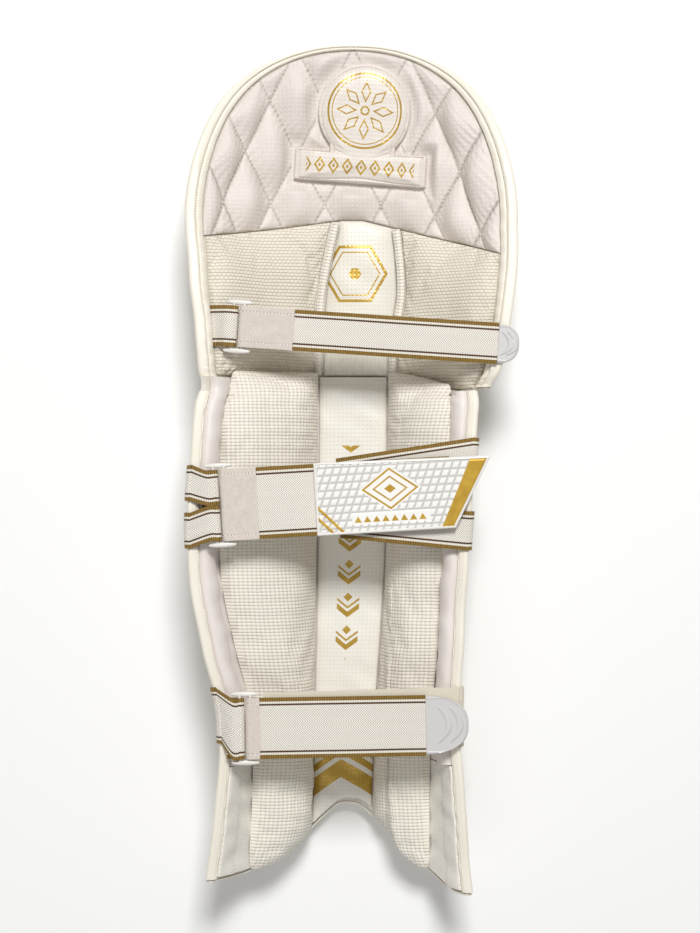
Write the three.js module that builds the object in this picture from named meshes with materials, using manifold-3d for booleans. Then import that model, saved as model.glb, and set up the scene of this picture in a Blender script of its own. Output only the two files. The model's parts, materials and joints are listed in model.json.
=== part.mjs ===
// A batting pad for the leg, lying on its face with the straps up.
// The frame is millimetres with +Z up, +Y towards the rounded top and -Y towards the ankle.
// Every soft piece is laid on one of two lining surfaces, the shin's and the top hat's.
// A lining surface is a row of cross-sections: a flat spine, an arc and a straight wing on each side.
// A place on it is y along the pad and s, the distance from the spine measured round the section.
import * as THREE from "three";
import { mergeVertices } from "three/addons/utils/BufferGeometryUtils.js";
import Module from "manifold-3d";

const wasm = await Module();
wasm.setup();
const { lerp, clamp, degToRad, smoothstep } = THREE.MathUtils;

// Driving sizes of the padded body
const padLength = 760;
const shinLength = 460;
const spineHalf = 34;
const leftShinHalf = 139;
const rightShinHalf = 107;
const shinWingHeight = 98;
const topHatHalf = 137;
const topHatWingHeight = 80;
const shinCore = 16;
const topHatCore = 14;
const edgeThickness = 5.5;
const ribCount = 7;
const ribPitch = 27;
const ribDepth = 6;
const kneeRollDepth = 20;
const kneeRollCount = 3;
const kneeRollPitch = 39;
const kneeRollReach = 104;
const floorPress = 1.5;
const archRise = 74;
const leftArchSpan = 104;
const rightArchSpan = 126;
const archCentre = -5;
const rightTipRise = 4;
const leftTipRise = 16;
const kneeSeamDrop = 12;
const domeStart = 594;
const domeCrownPower = 2.25;
const domeFlankPower = 1.74;

// Sizes of the inner pads, sheets and bindings
const seatGap = 0.9;
const bindingWidth = 13;
const bindingTopWidth = 6;
const bindingThickness = 2.2;
const liningThickness = 2.2;
const ankleSeam = 118;
const bolsterHeight = 40;
const channelHalf = 30;
const channelThickness = 5;
const kneePadHeight = 16;
const kneePadRise = 10;
const kneeLineTop = 605;
const kneeCupThickness = 8;
const kneePipingRadius = 3.6;
const quiltWidth = 51;
const quiltHeight = 92;
const quiltPillow = 7;
const quiltFloor = 2.2;
const badgeRadius = 42;
const badgeBarHalf = 61;
const badgeBarWidth = 27;
const badgeThickness = 6;
const badgeAlong = 701;
const badgeAcross = 11;
const badgeTilt = 4;

// Sizes shared by the three straps
const strapWidth = 53;
const strapSpan = 226;
const webbingThickness = 1.6;
const sleeveThickness = 1.8;
const layerGap = 0.6;
const ringBar = 3;
const ringHalf = 4.6;
const ringPlate = 5;
const ringPlateLength = 25;
const anchorReach = 40;
const foldReturn = 12;

// How the shin's section runs along the pad. along is a share of padLength, flat of spineHalf, lift of
// kneeRollDepth, left of leftShinHalf, right of rightShinHalf and the wings of shinWingHeight. The leans
// are degrees from the floor.
const shinSections = [
  {
    along: 0.0, flat: 0.9, lift: 0.0,
    left: 0.92, leftWing: 0.78, leftLean: 55, right: 0.94, rightWing: 0.76, rightLean: 60,
  },
  {
    along: 0.1, flat: 0.9, lift: 0.0,
    left: 0.835, leftWing: 0.88, leftLean: 62, right: 0.88, rightWing: 0.84, rightLean: 66,
  },
  {
    along: 0.21, flat: 0.9, lift: 0.1,
    left: 0.8, leftWing: 0.95, leftLean: 68, right: 0.825, rightWing: 0.88, rightLean: 71,
  },
  {
    along: 0.29, flat: 0.9, lift: 0.24,
    left: 0.9, leftWing: 0.99, leftLean: 66, right: 0.85, rightWing: 0.9, rightLean: 71,
  },
  {
    along: 0.38, flat: 0.95, lift: 0.4,
    left: 0.985, leftWing: 1.0, leftLean: 63, right: 0.885, rightWing: 0.9, rightLean: 69,
  },
  {
    along: 0.49, flat: 1.0, lift: 0.58,
    left: 0.985, leftWing: 0.98, leftLean: 61, right: 0.93, rightWing: 0.88, rightLean: 67,
  },
  {
    along: 0.61, flat: 1.0, lift: 0.75,
    left: 0.93, leftWing: 0.86, leftLean: 60, right: 1.0, rightWing: 0.8, rightLean: 64,
  },
];
// The same for the knee and top hat, with left and right shares of topHatHalf and wing of topHatWingHeight
const topHatSections = [
  { along: 0.58, flat: 1.0, lift: 1.03, left: 0.94, right: 0.86, wing: 0.96, lean: 62 },
  { along: 0.63, flat: 1.05, lift: 1.03, left: 0.955, right: 0.93, wing: 0.97, lean: 60 },
  { along: 0.68, flat: 1.05, lift: 1.03, left: 0.985, right: 0.98, wing: 0.96, lean: 58 },
  { along: 0.74, flat: 1.1, lift: 1.03, left: 1.02, right: 1.02, wing: 0.88, lean: 54 },
  { along: 0.8, flat: 1.15, lift: 1.1, left: 1.04, right: 1.02, wing: 0.78, lean: 50 },
  { along: 0.9, flat: 1.15, lift: 1.5, left: 1.03, right: 1.01, wing: 0.7, lean: 46 },
  { along: 1.0, flat: 1.15, lift: 2.1, left: 1.01, right: 0.99, wing: 0.64, lean: 44 },
];
// How the shell's lower edge falls from the arch's crown to the tips, as shares of each side's span and
// of archRise
const archShape = [
  { along: 0.0, rise: 1.0 },
  { along: 0.09, rise: 0.965 },
  { along: 0.2, rise: 0.8 },
  { along: 0.36, rise: 0.53 },
  { along: 0.56, rise: 0.27 },
  { along: 0.78, rise: 0.1 },
  { along: 1.0, rise: 0.0 },
];
// Where the bolsters' outer edges run, as shares of the wing's reach, and how high they stand
const bolsterEdges = [
  { along: 0.02, left: 0.7, leftHeight: 0.75, right: 0.62, rightHeight: 0.75 },
  { along: 0.12, left: 0.71, leftHeight: 0.87, right: 0.64, rightHeight: 0.85 },
  { along: 0.24, left: 0.74, leftHeight: 0.95, right: 0.73, rightHeight: 0.88 },
  { along: 0.34, left: 0.79, leftHeight: 1.0, right: 0.78, rightHeight: 0.84 },
  { along: 0.48, left: 0.83, leftHeight: 1.0, right: 0.83, rightHeight: 0.8 },
  { along: 0.61, left: 0.85, leftHeight: 0.9, right: 0.86, rightHeight: 0.76 },
];
// The channel's two edges drift towards the left wing at the ankle. Both are shares of channelHalf.
const channelEdges = [
  { along: 0.0, left: 1.27, right: 0.5 },
  { along: 0.2, left: 1.18, right: 0.68 },
  { along: 0.4, left: 1.06, right: 0.98 },
  { along: 0.62, left: 1.0, right: 1.04 },
];
// The knee pads' inner edges, as shares of channelHalf
const kneeEdges = [
  { along: 0.61, left: 0.92, right: 1.08 },
  { along: 0.65, left: 0.9, right: 1.12 },
  { along: 0.71, left: 0.82, right: 1.36 },
  { along: 0.8, left: 0.36, right: 1.16 },
];
// Each strap crosses from the left wing to the right. Its places on the wings are shares of padLength,
// its width is a share of strapWidth, and its ring and ends are shares of strapSpan, measured from the
// left wing's edge.
const straps = {
  top: { left: 0.6645, right: 0.642, width: 0.68, ring: 0.084, sleeveEnd: 0.301, webbingEnd: 1.093 },
  middle: { left: 0.4553, right: 0.4737, width: 1.17, ring: 0.115, sleeveEnd: 0.257, webbingEnd: 1 },
  bottom: { left: 0.2013, right: 0.2053, width: 1, ring: 0.0885, sleeveEnd: 0.1416, webbingEnd: 0.783 },
};

function strapSizes(name) {
  const row = straps[name];
  return {
    leftAlong: row.left * padLength,
    rightAlong: row.right * padLength,
    width: row.width * strapWidth,
    ring: row.ring * strapSpan,
    sleeveEnd: row.sleeveEnd * strapSpan,
    webbingEnd: row.webbingEnd * strapSpan,
  };
}

// A smooth curve through one column of a table
function tableValue(table, column, along) {
  const last = table.length - 1;
  let i = 0;
  while (i < last - 1 && along > table[i + 1].along) i += 1;
  const slopeAt = (k) => {
    const a = table[Math.max(k - 1, 0)];
    const b = table[Math.min(k + 1, last)];
    return (b[column] - a[column]) / (b.along - a.along);
  };
  const span = table[i + 1].along - table[i].along;
  const t = clamp((along - table[i].along) / span, 0, 1);
  const [v0, v1] = [table[i][column], table[i + 1][column]];
  const [m0, m1] = [slopeAt(i) * span, slopeAt(i + 1) * span];
  return v0 + t * (m0 + t * (3 * (v1 - v0) - 2 * m0 - m1 + t * (2 * (v0 - v1) + m0 + m1)));
}

// One side of a section: the arc and the straight wing that take a flat spine to a given half-width and
// height
function wingProfile(flat, half, height, leanDegrees) {
  const lean = degToRad(leanDegrees);
  const [sine, cosine] = [Math.sin(lean), Math.cos(lean)];
  const radius = ((half - flat) * sine - cosine * height) / (1 - cosine);
  const straight = (sine * height - (1 - cosine) * (half - flat)) / (1 - cosine);
  return { flat, radius, lean, reach: flat + radius * lean + straight };
}

// A lining surface, with the section at any y kept once it is worked out
function liningSurface(sectionAt) {
  const known = new Map();
  return (y) => {
    if (!known.has(y)) known.set(y, sectionAt(y / padLength));
    return known.get(y);
  };
}

const shin = liningSurface((along) => {
  const value = (column) => tableValue(shinSections, column, along);
  const flat = value("flat") * spineHalf;
  return {
    rise: shinCore + ribDepth - floorPress + value("lift") * kneeRollDepth,
    left: wingProfile(
      flat, value("left") * leftShinHalf, value("leftWing") * shinWingHeight, value("leftLean"),
    ),
    right: wingProfile(
      flat, value("right") * rightShinHalf, value("rightWing") * shinWingHeight, value("rightLean"),
    ),
  };
});

const topHat = liningSurface((along) => {
  const value = (column) => tableValue(topHatSections, column, along);
  const flat = value("flat") * spineHalf;
  const height = value("wing") * topHatWingHeight;
  const wing = (half) => wingProfile(flat, half * topHatHalf, height, value("lean"));
  return {
    rise: topHatCore + value("lift") * kneeRollDepth,
    left: wing(value("left")),
    right: wing(value("right")),
  };
});

const sideOf = (section, s) => (s < 0 ? section.left : section.right);

// The direction of the section at s: the angle that it has turned through from the flat spine
function turnAt(wing, distance) {
  return clamp((distance - wing.flat) / wing.radius, 0, wing.lean);
}

// The point at (s, y) on a lining surface, raised by height towards the leg
function skinPoint(surface, s, y, height) {
  const section = surface(y);
  const wing = sideOf(section, s);
  const distance = Math.abs(s);
  const side = Math.sign(s) || 1;
  const turn = turnAt(wing, distance);
  const flat = Math.min(distance, wing.flat);
  const straight = Math.max(distance - wing.flat - wing.radius * wing.lean, 0);
  const x = flat + wing.radius * Math.sin(turn) + straight * Math.cos(turn);
  const z = section.rise + wing.radius * (1 - Math.cos(turn)) + straight * Math.sin(turn);
  return new THREE.Vector3(side * (x - height * Math.sin(turn)), y, z + height * Math.cos(turn));
}

// How far a wing's edge is from the spine, on the side that sign points to
const reachOf = (surface, sign, y) => sideOf(surface(y), sign).reach;

// Evenly spaced shares from 0 to 1
const shares = (count) => Array.from({ length: count + 1 }, (_, i) => i / count);
// Shares that crowd towards both ends, where a pad's rim turns over
const rimShares = (count) => shares(count).map((t) => 0.5 - 0.5 * Math.cos(Math.PI * t));
// A padded edge: 0 at both ends of the share and 1 across the middle, rounder as power drops
const crown = (t, power) => Math.sqrt(Math.max(1 - Math.abs(2 * t - 1) ** power, 0));

function signedVolume(positions, index) {
  let sum = 0;
  const [a, b, c] = [new THREE.Vector3(), new THREE.Vector3(), new THREE.Vector3()];
  for (let i = 0; i < index.length; i += 3) {
    [a, b, c].forEach((p, k) => p.fromArray(positions, 3 * index[i + k]));
    sum += a.dot(b.cross(c));
  }
  return sum;
}

// A closed solid between two skins that share a grid of columns and rows, with a rim joining their edges
function paddedSolid(columns, rows, under, over) {
  const positions = [];
  const index = [];
  const perSkin = columns.length * rows.length;
  for (const skin of [under, over]) {
    for (const v of rows) {
      for (const u of columns) positions.push(...skin(u, v).toArray());
    }
  }
  const corner = (skin, i, j) => skin * perSkin + j * columns.length + i;
  const quad = (a, b, c, d) => index.push(a, b, c, a, c, d);
  const [lastColumn, lastRow] = [columns.length - 1, rows.length - 1];
  for (let j = 0; j < lastRow; j += 1) {
    for (let i = 0; i < lastColumn; i += 1) {
      quad(corner(0, i, j), corner(0, i, j + 1), corner(0, i + 1, j + 1), corner(0, i + 1, j));
      quad(corner(1, i, j), corner(1, i + 1, j), corner(1, i + 1, j + 1), corner(1, i, j + 1));
    }
    quad(corner(0, 0, j), corner(1, 0, j), corner(1, 0, j + 1), corner(0, 0, j + 1));
    quad(
      corner(0, lastColumn, j), corner(0, lastColumn, j + 1),
      corner(1, lastColumn, j + 1), corner(1, lastColumn, j),
    );
  }
  for (let i = 0; i < lastColumn; i += 1) {
    quad(corner(0, i, 0), corner(0, i + 1, 0), corner(1, i + 1, 0), corner(1, i, 0));
    quad(corner(0, i, lastRow), corner(1, i, lastRow), corner(1, i + 1, lastRow), corner(0, i + 1, lastRow));
  }
  if (signedVolume(positions, index) < 0) index.reverse();
  const geometry = new THREE.BufferGeometry();
  geometry.setAttribute("position", new THREE.Float32BufferAttribute(positions, 3));
  geometry.setIndex(index);
  return geometry;
}

function toManifold(geometry) {
  const bare = geometry.clone();
  bare.deleteAttribute("normal");
  bare.deleteAttribute("uv");
  const merged = mergeVertices(bare, 1e-3);
  return new wasm.Manifold(
    new wasm.Mesh({
      numProp: 3,
      vertProperties: new Float32Array(merged.attributes.position.array),
      triVerts: new Uint32Array(merged.index.array),
    }),
  );
}

function fromManifold(solid) {
  const mesh = solid.getMesh();
  const geometry = new THREE.BufferGeometry();
  geometry.setAttribute("position", new THREE.BufferAttribute(mesh.vertProperties, 3));
  geometry.setIndex(new THREE.BufferAttribute(mesh.triVerts, 1));
  return geometry;
}

const joined = (...geometries) => fromManifold(geometries.map(toManifold).reduce((a, b) => a.add(b)));

// Colours and surfaces
const cloths = {
  leatherette: new THREE.MeshStandardMaterial({ color: "#e9e4da", roughness: 0.45, metalness: 0 }),
  quiltedLeatherette: new THREE.MeshStandardMaterial({ color: "#d2cac2", roughness: 0.4, metalness: 0 }),
  badgeLeatherette: new THREE.MeshStandardMaterial({ color: "#dbd3cc", roughness: 0.45, metalness: 0 }),
  spacerMesh: new THREE.MeshStandardMaterial({ color: "#e6e0d0", roughness: 0.85, metalness: 0 }),
  liningCloth: new THREE.MeshStandardMaterial({ color: "#e6e0dc", roughness: 0.7, metalness: 0 }),
  ankleCloth: new THREE.MeshStandardMaterial({ color: "#dcd7c4", roughness: 0.8, metalness: 0 }),
  channelVinyl: new THREE.MeshStandardMaterial({ color: "#f0ece4", roughness: 0.4, metalness: 0 }),
  webbing: new THREE.MeshStandardMaterial({ color: "#ddd6c9", roughness: 0.85, metalness: 0 }),
  sleeveCloth: new THREE.MeshStandardMaterial({ color: "#dbcfc4", roughness: 0.9, metalness: 0 }),
  loopCloth: new THREE.MeshStandardMaterial({ color: "#e4dccb", roughness: 0.9, metalness: 0 }),
  whiteNylon: new THREE.MeshStandardMaterial({ color: "#f2f0ea", roughness: 0.35, metalness: 0 }),
  greyRubber: new THREE.MeshStandardMaterial({ color: "#d3d1d0", roughness: 0.5, metalness: 0 }),
  mouldedPatch: new THREE.MeshStandardMaterial({ color: "#efeeea", roughness: 0.35, metalness: 0 }),
};

const pad = new THREE.Group();

function addPiece(name, geometry, material) {
  const mesh = new THREE.Mesh(geometry, material);
  mesh.name = name;
  pad.add(mesh);
}

// How far the shell's lower edge stands above the wing tips: an arch over the foot
function archLine(s) {
  const isLeft = s < archCentre;
  const span = isLeft ? leftArchSpan : rightArchSpan;
  const fall = tableValue(archShape, "rise", Math.min(Math.abs(s - archCentre) / span, 1));
  return lerp(isLeft ? leftTipRise : rightTipRise, archRise, fall);
}

// The seam between the shin and the knee, lower on the right
function kneeSeam(s) {
  return shinLength - kneeSeamDrop * smoothstep(s, spineHalf, 3.5 * spineHalf);
}

// How far the dome's crown is drawn in where its sides are drawn in by inset: the binding narrows towards
// the crown
function crownInset(inset) {
  const shareOfBinding = Math.min(inset / bindingWidth, 1);
  return shareOfBinding * bindingTopWidth + Math.max(inset - bindingWidth, 0);
}

// The rounded top of the pad at s, with the outline drawn in by inset
function domeLine(s, inset) {
  const across = clamp(Math.abs(s) / (reachOf(topHat, s, domeStart) - inset), 0, 1);
  const rise = padLength - crownInset(inset) - domeStart;
  return domeStart + rise * (1 - across ** domeCrownPower) ** (1 / domeFlankPower);
}

// The seam where the knee pads end and the quilted lining begins
function kneeLine(s) {
  return kneeLineTop - (s < 0 ? 0.14 : 0.25) * Math.max(Math.abs(s) - 0.3 * channelHalf, 0);
}

// Where the column whose place at any y is placeAt(y) crosses the knee line
function kneeCrossing(placeAt) {
  let y = kneeLineTop;
  for (let i = 0; i < 6; i += 1) y = kneeLine(placeAt(y));
  return y;
}

// Round ribs that stand out of the pad's face, 0 in each groove and 1 on each crest
function ribCrest(s) {
  const ribbed = (ribCount * ribPitch) / 2;
  if (Math.abs(s) >= ribbed) return 0;
  const place = (s + ribbed) / ribPitch;
  return crown(place - Math.floor(place), 2);
}

// The shell's thickness under a place on its lining: cored across the middle, thin at its edge
function shellThickness(core, s, reach, edgeDistance) {
  const ribbed = (ribCount * ribPitch) / 2;
  const taper = smoothstep(Math.abs(s), ribbed * 0.9, reach);
  const body = lerp(core, edgeThickness, taper);
  return lerp(edgeThickness, body, smoothstep(edgeDistance, 0, 2 * core));
}

function topHatThickness(s, y, edgeDistance) {
  const rollsTop = shinLength + 6 + kneeRollCount * kneeRollPitch;
  const ribs = smoothstep(y, rollsTop, rollsTop + 20) * ribDepth * 0.8 * ribCrest(s);
  return shellThickness(topHatCore, s, reachOf(topHat, s, Math.min(y, domeStart)), edgeDistance) + ribs;
}

const shinThickness = (s, y) =>
  shellThickness(shinCore, s, reachOf(shin, s, y), padLength) + ribDepth * ribCrest(s);

// What lies on the floor is pressed flat against it
function pressed(point) {
  point.z = Math.max(point.z, 0);
  return point;
}

// Columns across a shell: four to each rib, then shares of the plain wing outside them.
// A column is a place from -1 to 1 on the ribs, and past that a share of the wing.
function shellColumns(wingShares) {
  const ribPlaces = [0, 0.14, 0.5, 0.86];
  const ribs = [];
  for (let i = 0; i < ribCount; i += 1) {
    for (const place of ribPlaces) ribs.push((2 * (i + place)) / ribCount - 1);
  }
  ribs.push(1);
  return [...wingShares.map((t) => -1 - t).reverse(), ...ribs, ...wingShares.map((t) => 1 + t)];
}

function columnPlace(column, reach) {
  const ribbed = (ribCount * ribPitch) / 2;
  if (Math.abs(column) <= 1) return column * ribbed;
  return Math.sign(column) * (ribbed + (Math.abs(column) - 1) * (reach - ribbed));
}

const shinColumns = shellColumns([0.18, 0.38, 0.66, 1]);

// Every piece on the shin is sampled at the same rows: some below the ankle's seam and the rest above it
const ankleRows = 3;
const shinRows = 9;
const lastRow = ankleRows + shinRows;
const wholeRows = Array.from({ length: lastRow + 1 }, (_, i) => i);

function shinRun(foot, top, row) {
  if (row <= ankleRows) return lerp(foot, ankleSeam, row / ankleRows);
  return lerp(ankleSeam, top, (row - ankleRows) / shinRows);
}

// The place on the shin's shell that a column and a row come to
function shinPlace(u, row) {
  const placeAt = (y) => columnPlace(u, reachOf(shin, u, y));
  const y = shinRun(archLine(placeAt(0)), kneeSeam(placeAt(shinLength)), row);
  return { s: placeAt(y), y };
}

function addShinFace() {
  const place = shinPlace;
  const inner = (u, v) => {
    const { s, y } = place(u, v);
    return skinPoint(shin, s, y, 0);
  };
  const outer = (u, v) => {
    const { s, y } = place(u, v);
    return pressed(skinPoint(shin, s, y, -shinThickness(s, y)));
  };
  addPiece("shin_face", paddedSolid(shinColumns, wholeRows, outer, inner), cloths.leatherette);
}

function addTopHatFace() {
  const columns = shellColumns([0.25, 0.5, 0.7, 0.85, 0.95, 1]);
  const rows = [0, 0.11, 0.22, 0.32, 0.42, 0.54, 0.66, 0.78, 0.9, 1];
  const split = rows[4];
  const rollsTop = shinLength + 6 + kneeRollCount * kneeRollPitch;
  const place = (u, v) => {
    const placeAt = (y) => columnPlace(u, reachOf(topHat, u, Math.min(y, domeStart)));
    const top = domeLine(placeAt(domeStart), 0);
    const foot = kneeSeam(placeAt(shinLength)) + 1.5 * seatGap;
    const y = v < split ? lerp(foot, rollsTop, v / split) : lerp(rollsTop, top, (v - split) / (1 - split));
    return { s: placeAt(y), y, edgeDistance: top - y };
  };
  const inner = (u, v) => {
    const { s, y } = place(u, v);
    return skinPoint(topHat, s, y, 0);
  };
  const outer = (u, v) => {
    const { s, y, edgeDistance } = place(u, v);
    return pressed(skinPoint(topHat, s, y, -topHatThickness(s, y, edgeDistance)));
  };
  addPiece("top_hat_face", paddedSolid(columns, rows, outer, inner), cloths.leatherette);
}

// Stuffed rolls across the front of the knee, flat where the pad rests on them
function addKneeRolls() {
  const names = ["knee_roll_lower", "knee_roll_middle", "knee_roll_upper"];
  const halfColumns = [0, 0.02, 0.08, 0.15, 0.22, 0.29, 0.36, 0.43, 0.5];
  const columns = [...halfColumns, ...halfColumns.slice(0, -1).reverse().map((t) => 1 - t)];
  const rows = [0, 0.09, 0.36, 0.64, 0.91, 1];
  for (let i = 0; i < kneeRollCount; i += 1) {
    const foot = shinLength + 4 + i * kneeRollPitch;
    const place = (u, v) => ({
      s: lerp(-kneeRollReach, kneeRollReach, u),
      y: foot + v * (kneeRollPitch - 1),
    });
    const back = (u, v) => {
      const { s, y } = place(u, v);
      return skinPoint(topHat, s, y, -topHatThickness(s, y, padLength) - seatGap);
    };
    const front = (u, v) => {
      const { s, y } = place(u, v);
      const depth = 0.8 + kneeRollDepth * crown(v, 2.4) * crown(u, 6);
      return pressed(skinPoint(topHat, s, y, -topHatThickness(s, y, padLength) - seatGap - depth));
    };
    addPiece(names[i], paddedSolid(columns, rows, front, back), cloths.leatherette);
  }
}

// Diamond quilting: a pillow in each diamond of a lattice, 0 along every seam
function quiltPillowAt(s, y) {
  const quiltStart = kneeLineTop - 33;
  const [a, b] = [s / quiltWidth, (y - quiltStart) / quiltHeight];
  const [p, q] = [Math.abs(Math.sin(Math.PI * (a + b))), Math.abs(Math.sin(Math.PI * (a - b)))];
  return Math.min(p, q) ** 0.5;
}

// The badge's own frame has its origin in the disc's middle. It is turned a little clockwise on the pad.
const badgeTurn = degToRad(badgeTilt);
const badgeBarTop = 0.2 * badgeBarWidth - badgeRadius;

function badgePlace(x, y) {
  const [sine, cosine] = [Math.sin(badgeTurn), Math.cos(badgeTurn)];
  return { s: badgeAcross + x * cosine + y * sine, y: badgeAlong - x * sine + y * cosine };
}

// 0 under the badge, where the quilting is held down, and 1 clear of it
function clearOfBadge(s, y) {
  const [sine, cosine] = [Math.sin(badgeTurn), Math.cos(badgeTurn)];
  const [right, up] = [s - badgeAcross, y - badgeAlong];
  const [x, rise] = [right * cosine - up * sine, right * sine + up * cosine];
  const disc = Math.hypot(x, rise) - badgeRadius;
  const barRise = Math.abs(rise - badgeBarTop + badgeBarWidth / 2);
  const bar = Math.max(Math.abs(x) - badgeBarHalf, barRise - badgeBarWidth / 2);
  return smoothstep(Math.min(disc, bar), 10, 19);
}

const quiltHeightAt = (s, y) => quiltFloor + quiltPillow * quiltPillowAt(s, y) * clearOfBadge(s, y);

function addQuiltedLining() {
  const columns = Array.from({ length: 29 }, (_, i) => Math.sin((Math.PI / 2) * (i / 14 - 1)));
  const rows = [0, 0.08, 0.17, 0.26, 0.36, 0.46, 0.56, 0.66, 0.76, 0.86, 0.95, 1];
  const inset = bindingWidth + 1.5;
  const place = (u, v) => {
    const placeAt = (y) => u * (reachOf(topHat, u, Math.min(y, domeStart)) - inset);
    const y = lerp(kneeCrossing(placeAt) + 0.8, domeLine(placeAt(domeStart), inset), v);
    const rim = crown(0.5 + 0.5 * u, 14) * crown(0.04 + 0.92 * v, 14);
    return { s: placeAt(y), y, rim };
  };
  const under = (u, v) => {
    const { s, y } = place(u, v);
    return skinPoint(topHat, s, y, seatGap);
  };
  const over = (u, v) => {
    const { s, y, rim } = place(u, v);
    return skinPoint(topHat, s, y, seatGap + 1 + (quiltHeightAt(s, y) - 1) * rim);
  };
  addPiece("quilted_lining", paddedSolid(columns, rows, under, over), cloths.quiltedLeatherette);
}

// A raised badge stitched over the quilting: a disc whose straight-sided neck stands on a bar
function addBadge() {
  const base = 2 * seatGap + quiltFloor;
  const neckHalf = badgeRadius * Math.SQRT1_2;
  const raised = (right, up, edge) => {
    const { s, y } = badgePlace(right, up);
    return skinPoint(topHat, s, y, base + badgeThickness * edge);
  };
  const outlineAt = (angle) => {
    const [sine, cosine] = [Math.abs(Math.sin(angle)), Math.cos(angle)];
    if (cosine > -Math.SQRT1_2) return badgeRadius;
    return Math.min(neckHalf / Math.max(sine, 0.01), (5 - badgeBarTop) / -cosine);
  };
  const discPoint = (u, v, edge) => {
    const angle = 2 * Math.PI * u;
    const radius = outlineAt(angle) * v;
    return raised(radius * Math.sin(angle), radius * Math.cos(angle), edge);
  };
  const disc = ringedDisc(20, [0.55, 0.9, 1], discPoint);
  const barPoint = (u, v, edge) =>
    raised(lerp(-badgeBarHalf, badgeBarHalf, u), badgeBarTop - badgeBarWidth * (1 - v), edge);
  const barOver = (u, v) => barPoint(u, v, 0.5 + 0.5 * crown(u, 16) * crown(v, 4));
  const bar = paddedSolid(rimShares(10), rimShares(3), (u, v) => barPoint(u, v, 0), barOver);
  addPiece("emblem_badge", joined(disc, bar), cloths.badgeLeatherette);
}

// A closed disc of rings and spokes; point(u, v, edge) gives its under skin at edge 0 and its crown at edge 1
function ringedDisc(spokes, rings, point) {
  const positions = [...point(0, 0, 0).toArray(), ...point(0, 0, 1).toArray()];
  const index = [];
  const at = (skin, ring, spoke) => 2 + (skin * rings.length + ring) * spokes + (spoke % spokes);
  for (const skin of [0, 1]) {
    for (const ring of rings) {
      const edge = skin ? 0.5 + 0.5 * Math.sqrt(1 - ring ** 4) : 0;
      for (let i = 0; i < spokes; i += 1) positions.push(...point(i / spokes, ring, edge).toArray());
    }
  }
  const last = rings.length - 1;
  for (let i = 0; i < spokes; i += 1) {
    index.push(0, at(0, 0, i), at(0, 0, i + 1), 1, at(1, 0, i + 1), at(1, 0, i));
    for (let ring = 0; ring < last; ring += 1) {
      const [a, b, c, d] = [at(0, ring, i), at(0, ring + 1, i), at(0, ring + 1, i + 1), at(0, ring, i + 1)];
      const [e, f, g, h] = [at(1, ring, i), at(1, ring + 1, i), at(1, ring + 1, i + 1), at(1, ring, i + 1)];
      index.push(a, b, c, a, c, d, e, g, f, e, h, g);
    }
    const [a, b, c, d] = [at(0, last, i), at(1, last, i), at(1, last, i + 1), at(0, last, i + 1)];
    index.push(a, b, c, a, c, d);
  }
  if (signedVolume(positions, index) < 0) index.reverse();
  const geometry = new THREE.BufferGeometry();
  geometry.setAttribute("position", new THREE.Float32BufferAttribute(positions, 3));
  geometry.setIndex(index);
  return geometry;
}

// Where the knee pads' inner edges and the channel's edges run, with the left ones negative
const edgeOf = (table, side, y) => (
  (side === "left" ? -1 : 1) * channelHalf * tableValue(table, side, y / padLength)
);

// A knee pad each side of the knee cup, with a stitched piping along its inner edge
function addKneePads() {
  const pipingRoom = 2 * kneePipingRadius + 1.4 * seatGap;
  for (const side of ["left", "right"]) {
    const sign = side === "left" ? -1 : 1;
    const place = (u, v) => {
      const outerAt = (y) => sign * (reachOf(topHat, sign, y) - bindingWidth - 4);
      const placeAt = (y) => lerp(edgeOf(kneeEdges, side, y) + sign * pipingRoom, outerAt(y), u);
      const y = lerp(kneeSeam(placeAt(shinLength)) + kneePadRise, kneeCrossing(placeAt) - 0.5, v);
      return { s: placeAt(y), y };
    };
    const under = (u, v) => {
      const { s, y } = place(u, v);
      return skinPoint(topHat, s, y, seatGap);
    };
    const over = (u, v) => {
      const { s, y } = place(u, v);
      const height = 2 + (kneePadHeight - 2) * crown(0.06 + 0.9 * u, 3.2) * crown(0.02 + 0.93 * v, 4);
      return skinPoint(topHat, s, y, seatGap + height);
    };
    addPiece(`knee_pad_${side}`, paddedSolid(rimShares(10), rimShares(7), under, over), cloths.spacerMesh);

    const route = shares(10).map((t) => {
      const y = lerp(shinLength + kneePadRise + 3, kneeLine(edgeOf(kneeEdges, side, kneeLineTop)) - 2, t);
      const s = edgeOf(kneeEdges, side, y) + sign * kneePipingRadius;
      return skinPoint(topHat, s, y, seatGap + kneePipingRadius + 0.2);
    });
    const section = new THREE.Shape().absarc(0, 0, kneePipingRadius, 0, 2 * Math.PI, false);
    const piping = new THREE.ExtrudeGeometry(section, {
      steps: 10,
      curveSegments: 4,
      bevelEnabled: false,
      extrudePath: new THREE.CatmullRomCurve3(route),
    });
    addPiece(`knee_piping_${side}`, piping, cloths.spacerMesh);
  }
}

// The smooth panel that the kneecap sits against, between the two knee pads
function addKneeCup() {
  const place = (u, v) => {
    const placeAt = (y) => (
      lerp(edgeOf(kneeEdges, "left", y) + seatGap, edgeOf(kneeEdges, "right", y) - seatGap, u)
    );
    const y = lerp(shinLength + kneePadRise + 2, kneeCrossing(placeAt) - 0.5, v);
    return { s: placeAt(y), y };
  };
  const skin = (heightAt) => (u, v) => {
    const { s, y } = place(u, v);
    return skinPoint(topHat, s, y, seatGap + heightAt(u, v));
  };
  const height = (u, v) => 2.5 + (kneeCupThickness - 2.5) * crown(u, 3) * crown(v, 5);
  const cup = paddedSolid(rimShares(6), rimShares(6), skin(() => 0), skin(height));
  addPiece("knee_cup", cup, cloths.channelVinyl);
}

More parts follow.
